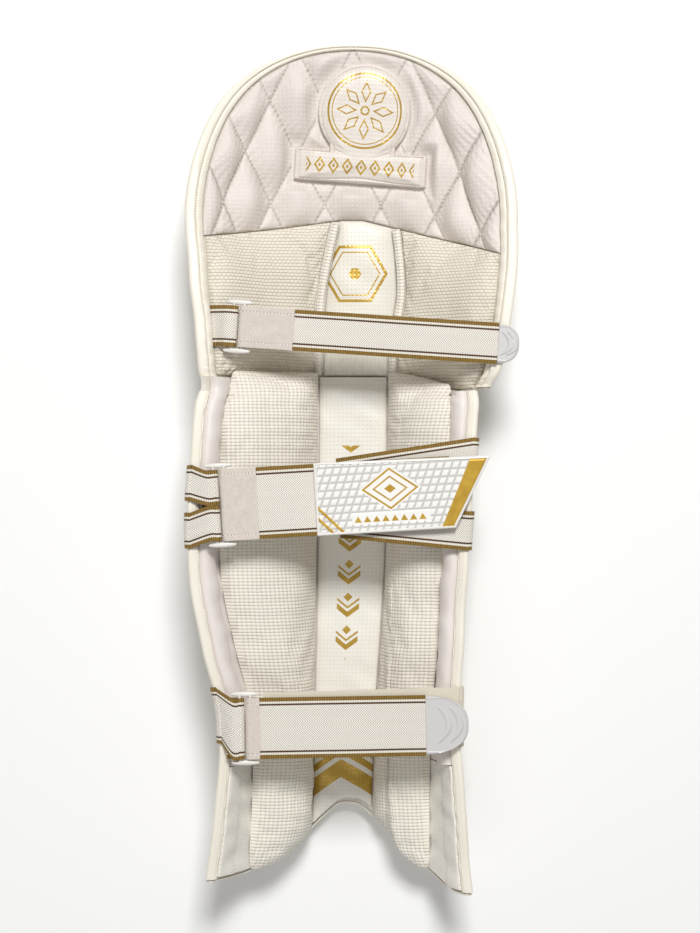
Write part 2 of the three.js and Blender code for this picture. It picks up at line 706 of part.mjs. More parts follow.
// Thin sheets that line the shin's shell from binding to binding, plain cloth above the ankle and twill
// below it
function addShinLinings() {
  const pieces = [
    {
      name: "ankle_lining", rows: ankleRows, material: cloths.ankleCloth,
      foot: (s) => archLine(s) + 3,
      top: () => ankleSeam - 0.5,
    },
    {
      name: "shin_lining", rows: shinRows, material: cloths.liningCloth,
      foot: () => ankleSeam + 0.5,
      top: (s) => kneeSeam(s) - 1,
    },
  ];
  const inset = bindingWidth + 1.5;
  const columns = shares(24).map((t) => 2 * t - 1);
  for (const { name, foot, top, rows, material } of pieces) {
    const place = (u, v) => {
      const placeAt = (y) => u * (reachOf(shin, u, y) - inset);
      const y = lerp(foot(placeAt(0)), top(placeAt(shinLength)), v);
      return { s: placeAt(y), y };
    };
    const skin = (height) => (u, v) => {
      const { s, y } = place(u, v);
      return skinPoint(shin, s, y, height);
    };
    const cloth = paddedSolid(columns, shares(rows), skin(seatGap), skin(seatGap + liningThickness));
    addPiece(name, cloth, material);
  }
}

const onLining = 2 * seatGap + liningThickness;

// Long bolsters each side of the shin, cut at the ankle to follow the arch
function addBolsters() {
  for (const side of ["left", "right"]) {
    const sign = side === "left" ? -1 : 1;
    const place = (u, v) => {
      const innerAt = (y) => edgeOf(channelEdges, side, y) + sign * 1.2;
      const outerAt = (y) => sign * reachOf(shin, sign, y) * tableValue(bolsterEdges, side, y / padLength);
      const placeAt = (y) => lerp(innerAt(y), outerAt(y), u);
      const foot = archLine(placeAt(0)) + 6 + 3 * u;
      const y = shinRun(foot, kneeSeam(placeAt(shinLength)) - 2, v);
      return { s: placeAt(y), y };
    };
    const under = (u, v) => {
      const { s, y } = place(u, v);
      return skinPoint(shin, s, y, onLining);
    };
    const over = (u, v) => {
      const { s, y } = place(u, v);
      const hump = crown(clamp(0.02 + 0.96 * u ** 0.82, 0, 1), 2.6);
      const ends = crown(0.04 + (0.92 * v) / lastRow, 16);
      const full = bolsterHeight * tableValue(bolsterEdges, `${side}Height`, y / padLength);
      const height = 3 + (full - 3) * hump * ends;
      return skinPoint(shin, s, y, onLining + height);
    };
    const rows = [0, 0.25, ...wholeRows.slice(1, -1), lastRow - 0.25, lastRow];
    addPiece(`bolster_${side}`, paddedSolid(rimShares(9), rows, under, over), cloths.spacerMesh);
  }
}

// The smooth strip down the middle, which the shin bone lies against
function addChannelPad() {
  const place = (u, v) => {
    const placeAt = (y) => lerp(edgeOf(channelEdges, "left", y), edgeOf(channelEdges, "right", y), u);
    const y = shinRun(archLine(placeAt(0)) + 4, shinLength - 2, v);
    return { s: placeAt(y), y };
  };
  const skin = (heightAt) => (u, v) => {
    const { s, y } = place(u, v);
    return skinPoint(shin, s, y, onLining + heightAt(u, v));
  };
  const height = (u) => 2 + (channelThickness - 2) * crown(u, 5);
  const strip = paddedSolid(rimShares(5), wholeRows, skin(() => 0), skin(height));
  addPiece("channel_pad", strip, cloths.channelVinyl);
}

// The bound edges: a strip of leatherette laid along each wing and round the dome
function addBindings() {
  const across = shares(2);
  const swell = (v) => 0.8 + (bindingThickness - 0.8) * crown(0.08 + 0.84 * v, 3);
  for (const side of ["left", "right"]) {
    const sign = side === "left" ? -1 : 1;
    const strip = (heightAt) => (u, v) => {
      const foot = side === "left" ? leftTipRise : rightTipRise;
      const y = shinRun(foot + 1, kneeSeam(sign * reachOf(shin, sign, shinLength)) - 1, u);
      const inset = 0.8 + v * (bindingWidth - 0.8);
      return skinPoint(shin, sign * (reachOf(shin, sign, y) - inset), y, heightAt(v));
    };
    const binding = paddedSolid(wholeRows, across, strip(() => seatGap), strip((v) => seatGap + swell(v)));
    addPiece(`edge_binding_${side}`, binding, cloths.leatherette);
  }
  // Up the left side, over the dome by its angle, and down the right side
  const sideRun = 0.22;
  const outline = (u, inset) => {
    const sign = u < 0.5 ? -1 : 1;
    const fromFoot = 0.5 - Math.abs(u - 0.5);
    if (fromFoot <= sideRun) {
      const foot = kneeSeam(sign * reachOf(topHat, sign, shinLength)) + 3;
      const y = lerp(foot, domeStart, fromFoot / sideRun);
      return { s: sign * (reachOf(topHat, sign, y) - inset), y };
    }
    const angle = (Math.PI / 2) * ((fromFoot - sideRun) / (0.5 - sideRun));
    const half = reachOf(topHat, sign, domeStart) - inset;
    const s = sign * half * Math.cos(angle) ** (2 / domeCrownPower);
    const crownRise = padLength - crownInset(inset) - domeStart;
    return { s, y: domeStart + crownRise * Math.sin(angle) ** (2 / domeFlankPower) };
  };
  const strip = (heightAt) => (u, v) => {
    const { s, y } = outline(u, 0.8 + v * (bindingWidth - 0.8));
    return skinPoint(topHat, s, y, heightAt(v));
  };
  const binding = paddedSolid(shares(34), across, strip(() => seatGap), strip((v) => seatGap + swell(v)));
  addPiece("edge_binding_top", binding, cloths.leatherette);
}

// A tape that closes the shell's cut lower edge, from wing tip to wing tip
function addArchTape() {
  const tapeThickness = 2;
  const ends = [shinColumns[0], shinColumns[shinColumns.length - 1]];
  const strip = (drop) => (u, v) => {
    const { s, y } = shinPlace(u, 0);
    const step = 0.02;
    const a = shinPlace(Math.max(u - step, ends[0]), 0);
    const b = shinPlace(Math.min(u + step, ends[1]), 0);
    const slope = (b.y - a.y) / (b.s - a.s);
    const depth = lerp(0.5, shinThickness(s, y) - 0.5, v);
    return pressed(skinPoint(shin, s, y - drop * Math.hypot(1, slope), -depth));
  };
  const near = 1.4 * seatGap;
  const tape = paddedSolid(shinColumns, shares(1), strip(near), strip(near + tapeThickness));
  addPiece("arch_tape", tape, cloths.leatherette);
}

// The middle of a wing's edge, which a strap turns round, and the way that the wing points there
function wingEdge(surface, side, y) {
  const middle = skinPoint(surface, side * reachOf(surface, side, y), y, -edgeThickness / 2);
  return { middle, lean: sideOf(surface(y), side).lean };
}

const turnRadius = edgeThickness / 2 + 1.4;

// The top of the turn over a wing's edge, as high as it gets across a strap's width
function overEdge(surface, side, y, width) {
  const above = (at) => wingEdge(surface, side, at).middle.add(new THREE.Vector3(0, 0, turnRadius));
  const point = above(y);
  point.z = Math.max(...[-0.5, -0.25, 0, 0.25, 0.5].map((t) => above(y + t * width).z));
  return point;
}

// A strap's own frame: along it from the left wing's edge, across it towards the top of the pad, and up
// from the leg. Its height is 0 on the underside of a layer that has just turned over a wing's edge.
function strapFrame(surface, strap, rightLift, start = overEdge(surface, -1, strap.leftAlong, strap.width)) {
  const end = overEdge(surface, 1, strap.rightAlong, strap.width);
  end.z += rightLift;
  const along = end.clone().sub(start).normalize();
  const across = new THREE.Vector3(0, 0, 1).cross(along).normalize();
  const up = along.clone().cross(across);
  const matrix = new THREE.Matrix4().makeBasis(along, across, up).setPosition(start);
  const length = end.distanceTo(start);
  return { surface, matrix, length, at: (a, b, c) => new THREE.Vector3(a, b, c).applyMatrix4(matrix) };
}

// A band of even thickness along a route for each share of its width. side says which way the thickness
// is laid.
function bandSolid(routeAt, acrossShares, thickness, side) {
  const routes = new Map(acrossShares.map((v) => [v, routeAt(v)]));
  const stations = [...routes.get(acrossShares[0]).keys()];
  const laid = (depth) => (i, v) => {
    const route = routes.get(v);
    const before = route[Math.max(i - 1, 0)];
    const after = route[Math.min(i + 1, route.length - 1)];
    const run = new THREE.Vector3().subVectors(after, before);
    const normal = new THREE.Vector3(-run.z, 0, run.x).normalize();
    return route[i].clone().addScaledVector(normal, side * depth);
  };
  return paddedSolid(stations, acrossShares, laid(0), laid(thickness));
}

// The stretch of a strap that climbs the outside of a wing and turns over its edge, as points for one y
function wingClimb(surface, side, y) {
  const reach = reachOf(surface, side, y);
  const thickness = surface === shin ? shinThickness : (s) => topHatThickness(s, y, padLength);
  const points = [1, 0.66, 0.33, 0.08].map((t) => {
    const s = side * (reach - anchorReach * t);
    return skinPoint(surface, s, y, -thickness(s, y) - turnRadius + edgeThickness / 2);
  });
  const { middle, lean } = wingEdge(surface, side, y);
  for (const t of shares(6)) {
    const swing = lerp(Math.PI / 2 - lean, -Math.PI / 2, t);
    const out = new THREE.Vector3(side * Math.cos(swing), 0, -Math.sin(swing));
    points.push(middle.clone().addScaledVector(out, turnRadius));
  }
  return points;
}

// The short rise of a strap that is sewn into the seam at the inner edge of the binding
function seamClimb(surface, side, y) {
  const s = side * (reachOf(surface, side, y) - bindingWidth - webbingThickness - 0.8);
  return [0.9, 4, 6.5].map((height) => skinPoint(surface, s, y, height));
}

const barTurn = ringBar * 0.71 + 0.35;

// A webbing fixed to the left wing: up and over its edge, then through the ring and back under itself
function addAnchorWebbing(name, frame, options) {
  const { width, ring, wingAlong, ringAcross, wingWidth, sewnInside } = options;
  const climb = sewnInside ? seamClimb : wingClimb;
  const routeAt = (v) => {
    const points = climb(frame.surface, -1, wingAlong + (v - 0.5) * wingWidth);
    const b = ringAcross + (v - 0.5) * width;
    const bar = ring - ringHalf;
    points.push(frame.at(bar - 6, b, barTurn + 2));
    for (let i = 0; i <= 6; i += 1) {
      const swing = lerp(Math.PI / 2, -Math.PI / 2, i / 6);
      points.push(frame.at(bar + barTurn * Math.cos(swing), b, 2.4 + barTurn * Math.sin(swing)));
    }
    points.push(frame.at(bar - foldReturn, b, 2.4 - barTurn));
    return points;
  };
  addPiece(name, bandSolid(routeAt, shares(1), webbingThickness, 1), cloths.webbing);
}

// The nylon ring that joins a wing's webbing to the strap: two bars between two long side plates
function addRing(name, frame, strap) {
  const halfHole = strap.width / 2 + 0.8;
  const shape = new THREE.Shape();
  const [barEnd, plateEnd] = [ringHalf + ringBar / 2, ringPlateLength / 2];
  const corners = [
    [-barEnd, -halfHole], [-plateEnd + 4, -halfHole], [-plateEnd, -halfHole - ringPlate / 2],
    [-plateEnd + 4, -halfHole - ringPlate], [plateEnd - 4, -halfHole - ringPlate],
    [plateEnd, -halfHole - ringPlate / 2],
    [plateEnd - 4, -halfHole], [barEnd, -halfHole],
  ];
  const outline = [...corners, ...corners.map(([x, y]) => [-x, -y])];
  shape.setFromPoints(outline.map(([x, y]) => new THREE.Vector2(x, y)));
  const hole = new THREE.Path();
  const holeEnd = ringHalf - ringBar / 2;
  const holeTop = halfHole + 0.6;
  hole.setFromPoints(
    [[-holeEnd, -holeTop], [-holeEnd, holeTop], [holeEnd, holeTop], [holeEnd, -holeTop]].map(
      ([x, y]) => new THREE.Vector2(x, y),
    ),
  );
  shape.holes.push(hole);
  const geometry = new THREE.ExtrudeGeometry(shape, { depth: ringBar, bevelEnabled: false });
  geometry.translate(strap.ring, 0, 2.4 - ringBar / 2);
  geometry.applyMatrix4(frame.matrix);
  addPiece(name, geometry, cloths.whiteNylon);
}

const webbingFloor = webbingThickness + layerGap;

// The cloth sleeve that folds round the ring's other bar and grips the end of the webbing
function addSleeve(name, frame, strap) {
  const routeAt = (v) => {
    const b = (v - 0.5) * strap.width;
    const bar = strap.ring + ringHalf;
    const end = strap.sleeveEnd;
    const top = webbingFloor + webbingThickness + 0.4;
    const points = [
      frame.at(end, b, top),
      frame.at(lerp(bar, end, 0.5), b, top + 0.3),
      frame.at(bar + 4, b, 2.4 + barTurn),
    ];
    for (let i = 0; i <= 6; i += 1) {
      const swing = lerp(Math.PI / 2, (3 * Math.PI) / 2, i / 6);
      points.push(frame.at(bar + barTurn * Math.cos(swing), b, 2.4 + barTurn * Math.sin(swing)));
    }
    points.push(frame.at(bar + 4, b, 2.4 - barTurn), frame.at(end, b, webbingFloor - 0.4));
    return points;
  };
  addPiece(name, bandSolid(routeAt, shares(2), sleeveThickness, -1), cloths.sleeveCloth);
}

// The striped webbing that crosses the leg, from inside the sleeve to its end piece
function addWebbing(name, frame, strap) {
  const start = Math.min(strap.ring + ringHalf + barTurn + 2, strap.sleeveEnd - 4);
  const routeAt = (v) => {
    const b = (v - 0.5) * strap.width;
    return shares(8).map((t) => {
      const taper = t < 0.01 ? 0.98 : 1;
      return frame.at(lerp(start, strap.webbingEnd, t), b * taper, webbingFloor);
    });
  };
  addPiece(name, bandSolid(routeAt, shares(2), webbingThickness, 1), cloths.webbing);
}

// A band fixed to the right wing and laid across the leg under the strap
function addRightBand(name, frame, options, material) {
  const { width, wingAlong, wingWidth, endAlong, endAcross, sink } = options;
  const routeAt = (v) => {
    const climb = wingClimb(frame.surface, 1, wingAlong + (v - 0.5) * wingWidth);
    const last = climb[climb.length - 1];
    const end = frame.at(endAlong, endAcross + (v - 0.5) * width, -sink);
    return [...climb, ...[0.08, 0.35, 0.7, 1].map((t) => last.clone().lerp(end, t))];
  };
  addPiece(name, bandSolid(routeAt, shares(2), webbingThickness, -1), material);
}

// The grey pull tab on a strap's end: half a disc with raised crescents, sewn under the webbing
function addTab(name, frame, strap, reach) {
  const half = strap.width / 2 - 1;
  const tongue = 10;
  const outline = new THREE.Shape();
  outline.moveTo(0, -half);
  outline.bezierCurveTo(reach * 0.9, -half, reach * 1.05, half * -0.35, reach, 0);
  outline.bezierCurveTo(reach * 1.05, half * 0.35, reach * 0.9, half, 0, half);
  const plate = new THREE.ExtrudeGeometry(outline, { depth: 2.4, bevelEnabled: false, curveSegments: 10 });
  const flange = new THREE.BoxGeometry(tongue + 4, 2 * half - 2, 1.1).translate(2 - tongue / 2, 0, 0.55);
  const crescents = [0.45, 0.72].map((share) => {
    const radius = half * 0.95;
    const crescent = new THREE.Shape();
    const bend = share * reach;
    crescent.moveTo(bend - 6, -radius * 0.6);
    crescent.quadraticCurveTo(bend + 9, 0, bend - 6, radius * 0.6);
    crescent.quadraticCurveTo(bend + 4, 0, bend - 6, -radius * 0.6);
    const ridge = new THREE.ExtrudeGeometry(crescent, { depth: 1.6, bevelEnabled: false, curveSegments: 6 });
    return ridge.translate(0, 0, 1.8);
  });
  const geometry = joined(plate, flange, ...crescents);
  geometry.translate(strap.webbingEnd + 0.5, 0, webbingFloor - 1.1 - layerGap);
  geometry.applyMatrix4(frame.matrix);
  addPiece(name, geometry, cloths.greyRubber);
}

// The moulded patch on the middle strap: a slanted plate with a raised rim, an end bar and two corner stripes
function addPatch(frame, strap) {
  const [start, tip, foot] = [0.478, 1.159, 1.009].map((share) => share * strapSpan);
  const half = strap.width / 2 + 0.5;
  const plateThickness = 2.2;
  const relief = 1.1;
  const slab = (corners, floor, depth) => {
    const shape = new THREE.Shape(corners.map(([x, y]) => new THREE.Vector2(x, y)));
    return new THREE.ExtrudeGeometry(shape, { depth, bevelEnabled: false }).translate(0, 0, floor);
  };
  const outline = [[start, -half], [foot, -half], [tip, half - 2], [start, half]];
  const raised = (corners) => slab(corners, plateThickness - 0.4, relief + 0.4);
  const rim = 1.8;
  const rims = [
    raised([[start, -half], [foot, -half], [foot, -half + rim], [start, -half + rim]]),
    raised([[start, half - rim], [tip - rim, half - 2 - rim], [tip, half - 2], [start, half]]),
  ];
  const endBar = raised([
    [foot - 13, -half + rim], [foot - 2, -half + rim], [tip - 4, half - 5], [tip - 22, half - 5],
  ]);
  const stripes = [0, 9].map((step) =>
    raised([
      [start + 2, -6 - step], [start + 2, -9 - step],
      [start + 20 - step, -half + 3], [start + 23 - step, -half + 3],
    ]),
  );
  const geometry = joined(slab(outline, 0, plateThickness), ...rims, endBar, ...stripes);
  geometry.translate(0, 0, webbingFloor + webbingThickness + layerGap);
  geometry.applyMatrix4(frame.matrix);
  addPiece("strap_middle_patch", geometry, cloths.mouldedPatch);
}

function addTopStrap() {
  const strap = strapSizes("top");
  const start = seamClimb(topHat, -1, strap.leftAlong).pop().add(new THREE.Vector3(0, 0, 2));
  const frame = strapFrame(topHat, strap, 0, start);
  addAnchorWebbing("strap_top_anchor", frame, {
    width: strap.width, wingWidth: strap.width, ring: strap.ring,
    wingAlong: strap.leftAlong, ringAcross: 0, sewnInside: true,
  });
  addRing("strap_top_ring", frame, strap);
  addSleeve("strap_top_sleeve", frame, strap);
  addWebbing("strap_top_webbing", frame, strap);
  addTab("strap_top_tab", frame, strap, strap.width / 2);
}

function addMiddleStrap() {
  const strap = strapSizes("middle");
  const frame = strapFrame(shin, strap, webbingThickness + layerGap);
  const half = strap.width / 4;
  const bandWidth = 0.55 * strap.width;
  for (const [name, sign] of [["upper", 1], ["lower", -1]]) {
    addAnchorWebbing(`strap_middle_anchor_${name}`, frame, {
      width: 2 * half - 0.5, wingWidth: 2 * half, ring: strap.ring,
      wingAlong: strap.leftAlong + sign * 1.32 * half, ringAcross: sign * half,
    });
    addRightBand(`strap_middle_right_${name}`, frame, {
      width: bandWidth, wingWidth: bandWidth, wingAlong: strap.rightAlong + sign * 0.94 * bandWidth - 3,
      endAlong: 0.566 * strapSpan, endAcross: sign * 0.512 * bandWidth, sink: webbingThickness + layerGap,
    }, cloths.webbing);
  }
  addRing("strap_middle_ring", frame, strap);
  addSleeve("strap_middle_sleeve", frame, strap);
  addWebbing("strap_middle_webbing", frame, strap);
  addPatch(frame, strap);
}

function addBottomStrap() {
  const strap = strapSizes("bottom");
  const frame = strapFrame(shin, strap, webbingThickness + layerGap);
  addAnchorWebbing("strap_bottom_anchor", frame, {
    width: strap.width, wingWidth: 0.92 * strap.width, ring: strap.ring,
    wingAlong: strap.leftAlong + 11, ringAcross: 0,
  });
  addRing("strap_bottom_ring", frame, strap);
  addSleeve("strap_bottom_sleeve", frame, strap);
  addWebbing("strap_bottom_webbing", frame, strap);
  addTab("strap_bottom_tab", frame, strap, 0.7 * strap.width);
  addRightBand("strap_bottom_band", frame, {
    width: strap.width, wingWidth: strap.width, wingAlong: strap.rightAlong + 6,
    endAlong: strap.sleeveEnd + 4, endAcross: 4, sink: webbingThickness,
  }, cloths.loopCloth);
}

addShinFace();
addTopHatFace();
addKneeRolls();
addQuiltedLining();
addBadge();
addKneePads();
addKneeCup();
addShinLinings();
addBolsters();
addChannelPad();
addBindings();
addArchTape();
addTopStrap();
addMiddleStrap();
addBottomStrap();

// The origin is on the floor, under the middle of the pad's box
const box = new THREE.Box3().setFromObject(pad);
pad.position.set(-(box.min.x + box.max.x) / 2, -(box.min.y + box.max.y) / 2, -box.min.z);

export default pad;
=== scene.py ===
import json
import math
import bpy
import numpy as np
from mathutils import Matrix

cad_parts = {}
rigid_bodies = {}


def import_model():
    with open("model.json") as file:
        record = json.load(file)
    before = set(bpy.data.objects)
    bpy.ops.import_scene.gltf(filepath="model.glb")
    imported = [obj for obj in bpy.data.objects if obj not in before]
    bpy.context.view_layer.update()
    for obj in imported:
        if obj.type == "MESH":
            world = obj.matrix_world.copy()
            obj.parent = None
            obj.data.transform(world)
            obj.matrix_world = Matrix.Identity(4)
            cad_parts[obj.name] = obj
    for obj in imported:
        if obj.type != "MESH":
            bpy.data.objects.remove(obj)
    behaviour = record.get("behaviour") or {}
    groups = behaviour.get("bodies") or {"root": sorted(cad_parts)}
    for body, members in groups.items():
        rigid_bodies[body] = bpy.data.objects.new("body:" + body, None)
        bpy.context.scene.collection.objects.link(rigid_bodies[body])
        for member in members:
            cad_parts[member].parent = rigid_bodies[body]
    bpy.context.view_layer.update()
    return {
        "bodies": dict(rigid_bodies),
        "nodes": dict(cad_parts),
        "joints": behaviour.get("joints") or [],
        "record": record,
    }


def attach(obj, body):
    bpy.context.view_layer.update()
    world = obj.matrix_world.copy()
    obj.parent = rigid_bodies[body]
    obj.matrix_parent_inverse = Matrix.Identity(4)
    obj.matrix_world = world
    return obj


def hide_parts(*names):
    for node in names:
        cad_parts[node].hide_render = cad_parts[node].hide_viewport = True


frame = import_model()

# The pad is worked out in millimetres in its own frame: x from the spine, y from the wing tips towards
# the rounded top, z up from the floor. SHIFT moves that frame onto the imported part's.
SHIFT = np.array([0.702, -380.370, 0.0])
LENGTH, SHIN_LENGTH = 760.0, 460.0
# Half of each section's flat middle, how much higher the knee lies, and the shells' thickness at their edge
SPINE, KNEE_DEPTH, EDGE = 34.0, 20.0, 5.5
RIBS, RIB_PITCH, RIB_DEPTH = 7, 27.0, 6.0
# The dome: where it starts, and the powers of its outline across and along
DOME_START, CROWN_POWER, FLANK_POWER = 594.0, 2.25, 1.74
# Seams across the pad, how far below the knee's seam the wings are pinched, and half the channel's width
ANKLE_SEAM, KNEE_TOP, KNEE_PINCH, CHANNEL = 118.0, 605.0, 10.0, 30.0
# The bindings' widths on the dome's sides, at its crown and on the shin's wings
BINDING, BINDING_TOP, SHIN_BINDING = 13.0, 4.0, 4.5
# The gap between pieces that touch, the linings' thickness, and where what lies on the shin's lining starts
GAP, LINING = 0.9, 2.2
ON_LINING = 2 * GAP + LINING + 0.3
# The arch over the foot: its crown's place and rise, its span each side, and how high the wings' tips stand
ARCH_CENTRE, ARCH_RISE, ARCH_SPANS, TIPS = -5.0, 74.0, (104.0, 126.0), (16.0, 4.0)
# The knee rolls: their length round the shell, their width and their pitch along the pad
ROLL_LENGTH, ROLL_WIDTH, ROLL_PITCH = 208.0, 38.0, 39.0
# The diamonds of the quilting, across and along, and how far the lattice starts below the knee pads' top
LATTICE, LATTICE_DROP = (51.0, 92.0), 33.0
# The knee pipings' radius, and the pitch of the stitches
PIPING, STITCH = 3.6, 3.6
BADGE = dict(
    radius=42.0, half=61.0, width=27.0, along=701.0, across=11.0, tilt=math.radians(4), bar_top=-36.6,
)
# The patch: its foot's and its top's length, half its width at its start and its width at its end, where it
# starts along the strap, and its studs' pitch along and across
PATCH_FOOT, PATCH_TOP, PATCH_HALF, PATCH_END, PATCH_START = 120.0, 154.0, 31.5, 61.0, 108.0
STUD_ALONG, STUD_ACROSS = 6.9, 6.6

# The sections along each shell, in the units that each table's own keys say.
SHIN = dict(
    along=[0.0, 0.1, 0.21, 0.29, 0.38, 0.49, 0.61],
    flat=[0.9, 0.9, 0.9, 0.9, 0.95, 1.0, 1.0], lift=[0.0, 0.0, 0.1, 0.24, 0.4, 0.58, 0.75],
    left=[0.92, 0.835, 0.8, 0.9, 0.985, 0.985, 0.93], right=[0.94, 0.88, 0.825, 0.85, 0.885, 0.93, 1.0],
    left_wing=[0.78, 0.88, 0.95, 0.99, 1.0, 0.98, 0.86], right_wing=[0.76, 0.84, 0.88, 0.9, 0.9, 0.88, 0.8],
    left_lean=[55, 62, 68, 66, 63, 61, 60], right_lean=[60, 66, 71, 71, 69, 67, 64],
    halves=(139.0, 107.0), height=98.0, base=20.5,
)
TOP_HAT = dict(
    along=[0.58, 0.63, 0.68, 0.74, 0.8, 0.9, 1.0],
    flat=[1.0, 1.05, 1.05, 1.1, 1.15, 1.15, 1.15], lift=[1.03, 1.03, 1.03, 1.03, 1.1, 1.5, 2.1],
    left=[0.94, 0.955, 0.985, 1.02, 1.04, 1.03, 1.01], right=[0.86, 0.93, 0.98, 1.02, 1.02, 1.01, 0.99],
    left_wing=[0.96, 0.97, 0.96, 0.88, 0.78, 0.7, 0.64], right_wing=[0.96, 0.97, 0.96, 0.88, 0.78, 0.7, 0.64],
    left_lean=[62, 60, 58, 54, 50, 46, 44], right_lean=[62, 60, 58, 54, 50, 46, 44],
    halves=(137.0, 137.0), height=80.0, base=14.0,
)
# The arch's line, the bolsters' edges and heights, and the knee pads' inner edges
ARCH = dict(along=[0.0, 0.09, 0.2, 0.36, 0.56, 0.78, 1.0], rise=[1.0, 0.965, 0.8, 0.53, 0.27, 0.1, 0.0])
BOLSTERS = dict(
    along=[0.02, 0.12, 0.24, 0.34, 0.48, 0.61],
    left=[0.7, 0.71, 0.74, 0.79, 0.83, 0.85], left_height=[0.75, 0.87, 0.95, 1.0, 1.0, 0.9],
    right=[0.62, 0.64, 0.73, 0.78, 0.83, 0.86], right_height=[0.75, 0.85, 0.88, 0.84, 0.8, 0.76],
)
CHANNEL_EDGES = dict(along=[0.0, 0.2, 0.4, 0.62], left=[1.27, 1.18, 1.06, 1.0], right=[0.5, 0.68, 0.98, 1.04])
KNEE_EDGES = dict(along=[0.61, 0.65, 0.71, 0.8], left=[0.92, 0.9, 0.82, 0.36], right=[1.08, 1.12, 1.36, 1.16])
STRAPS = dict(
    top=dict(surface=TOP_HAT, left=505.0, right=487.9, width=36.0, ring=19.0, sleeve=68.0, end=247.0),
    middle=dict(surface=SHIN, left=346.0, right=360.0, width=62.0, ring=26.0, sleeve=58.0, end=226.0),
    bottom=dict(surface=SHIN, left=153.0, right=156.0, width=53.0, ring=20.0, sleeve=32.0, end=177.0),
)


# Shapes

def curve(table, column, along):
    """A smooth curve through a table's column: cubic pieces whose slopes come from the two neighbours."""
    xs, vs = np.array(table["along"], float), np.array(table[column], float)
    slope = np.gradient(vs)
    slope[1:-1] = (vs[2:] - vs[:-2]) / (xs[2:] - xs[:-2])
    slope[0], slope[-1] = (vs[1] - vs[0]) / (xs[1] - xs[0]), (vs[-1] - vs[-2]) / (xs[-1] - xs[-2])
    k = np.clip(np.searchsorted(xs, along, side="right") - 1, 0, len(xs) - 2)
    span = xs[k + 1] - xs[k]
    t = np.clip((along - xs[k]) / span, 0, 1)
    m0, m1, rise = slope[k] * span, slope[k + 1] * span, vs[k + 1] - vs[k]
    return vs[k] + t * (m0 + t * (3 * rise - 2 * m0 - m1 + t * (m0 + m1 - 2 * rise)))


def wing(surface, y, side):
    """A section's flat, arc radius, lean and reach on one side, and its rise, at every y."""
    along = y / LENGTH
    flat = curve(surface, "flat", along) * SPINE
    left = np.asarray(side) < 0

    def pick(name):
        """The side's own column of the table."""
        return np.where(left, curve(surface, "left" + name, along), curve(surface, "right" + name, along))
    half = pick("") * np.where(left, *surface["halves"])
    height = pick("_wing") * surface["height"]
    lean = np.radians(pick("_lean"))
    sine, cosine = np.sin(lean), np.cos(lean)
    radius = ((half - flat) * sine - cosine * height) / (1 - cosine)
    straight = (sine * height - (1 - cosine) * (half - flat)) / (1 - cosine)
    rise = surface["base"] + curve(surface, "lift", along) * KNEE_DEPTH
    return flat, radius, lean, flat + radius * lean + straight, rise


def reach(surface, y, side):
    """How far a wing's edge is from the spine. It is drawn in a little where the knee's seam pinches it."""
    y = np.asarray(y, float)
    pinch = 9.0 if surface is TOP_HAT else 5.5
    waver = 0.8 * ripple(y, 40 * np.sign(side), 31, 80) * smooth(np.abs(y - SHIN_LENGTH), 20, 60)
    return wing(surface, y, side)[3] + waver - pinch * np.exp(-((y - SHIN_LENGTH + KNEE_PINCH) / 9) ** 2)


def skin(surface, s, y, height):
    """The point a distance s round the section at y, raised by height along the surface's normal."""
    s, y, height = np.broadcast_arrays(np.asarray(s, float), np.asarray(y, float), np.asarray(height, float))
    flat, radius, lean, _, rise = wing(surface, y, s)
    far = np.abs(s)
    turn = np.clip((far - flat) / radius, 0, lean)
    straight = np.maximum(far - flat - radius * lean, 0)
    x = np.minimum(far, flat) + radius * np.sin(turn) + straight * np.cos(turn) - height * np.sin(turn)
    z = rise + radius * (1 - np.cos(turn)) + straight * np.sin(turn) + height * np.cos(turn)
    return np.stack([np.where(s < 0, -x, x), y, z], -1)


def stacked(*parts):
    """Arrays brought to one shape, side by side along a new last axis."""
    return np.stack(np.broadcast_arrays(*parts), -1)


def smooth(x, low, high):
    """0 below low and 1 above high, with a smooth S between."""
    t = np.clip((x - low) / (high - low), 0, 1)
    return t * t * (3 - 2 * t)


def crown(t, power):
    """0 at both ends of the share and 1 across the middle: the root of 1 minus |2t - 1| to the power."""
    return np.sqrt(np.clip(1 - np.abs(2 * t - 1) ** power, 0, 1))


def ripple(a, b, seed, size, waves=7):
    """Soft unevenness between about -1 and 1: a sum of sine waves of about one size in seeded directions."""
    pick = np.random.RandomState(seed)
    total = 0
    for _ in range(waves):
        angle, phase, pitch = pick.uniform(0, math.pi), pick.uniform(0, 6.28), size * pick.uniform(0.6, 1.6)
        total = total + np.sin(6.28 * (a * math.cos(angle) + b * math.sin(angle)) / pitch + phase)
    return total / math.sqrt(waves)


def even(count):
    """Even shares from 0 to 1."""
    return np.linspace(0, 1, count)


def rims(count):
    """Shares that crowd towards both ends, where a pad's rim turns over."""
    t = even(count)
    return 0.35 * t + 0.65 * (0.5 - 0.5 * np.cos(np.pi * t))


def arch_line(s):
    """The shell's lower edge: it falls from the arch's crown to each wing's tip as the table's share of
    the span."""
    left = s < ARCH_CENTRE
    fall = curve(ARCH, "rise", np.minimum(np.abs(s - ARCH_CENTRE) / np.where(left, *ARCH_SPANS), 1))
    return np.where(left, *TIPS) * (1 - fall) + ARCH_RISE * fall


def knee_seam(s):
    """The seam between the shells: straight on the left, and it bends down across the right wing."""
    return SHIN_LENGTH - 12 * smooth(s, SPINE, 3.5 * SPINE)


def crown_inset(inset):
    """How far the dome's crown is drawn in where its sides are drawn in by inset."""
    return np.minimum(inset / BINDING, 1) * BINDING_TOP + np.maximum(inset - BINDING, 0)


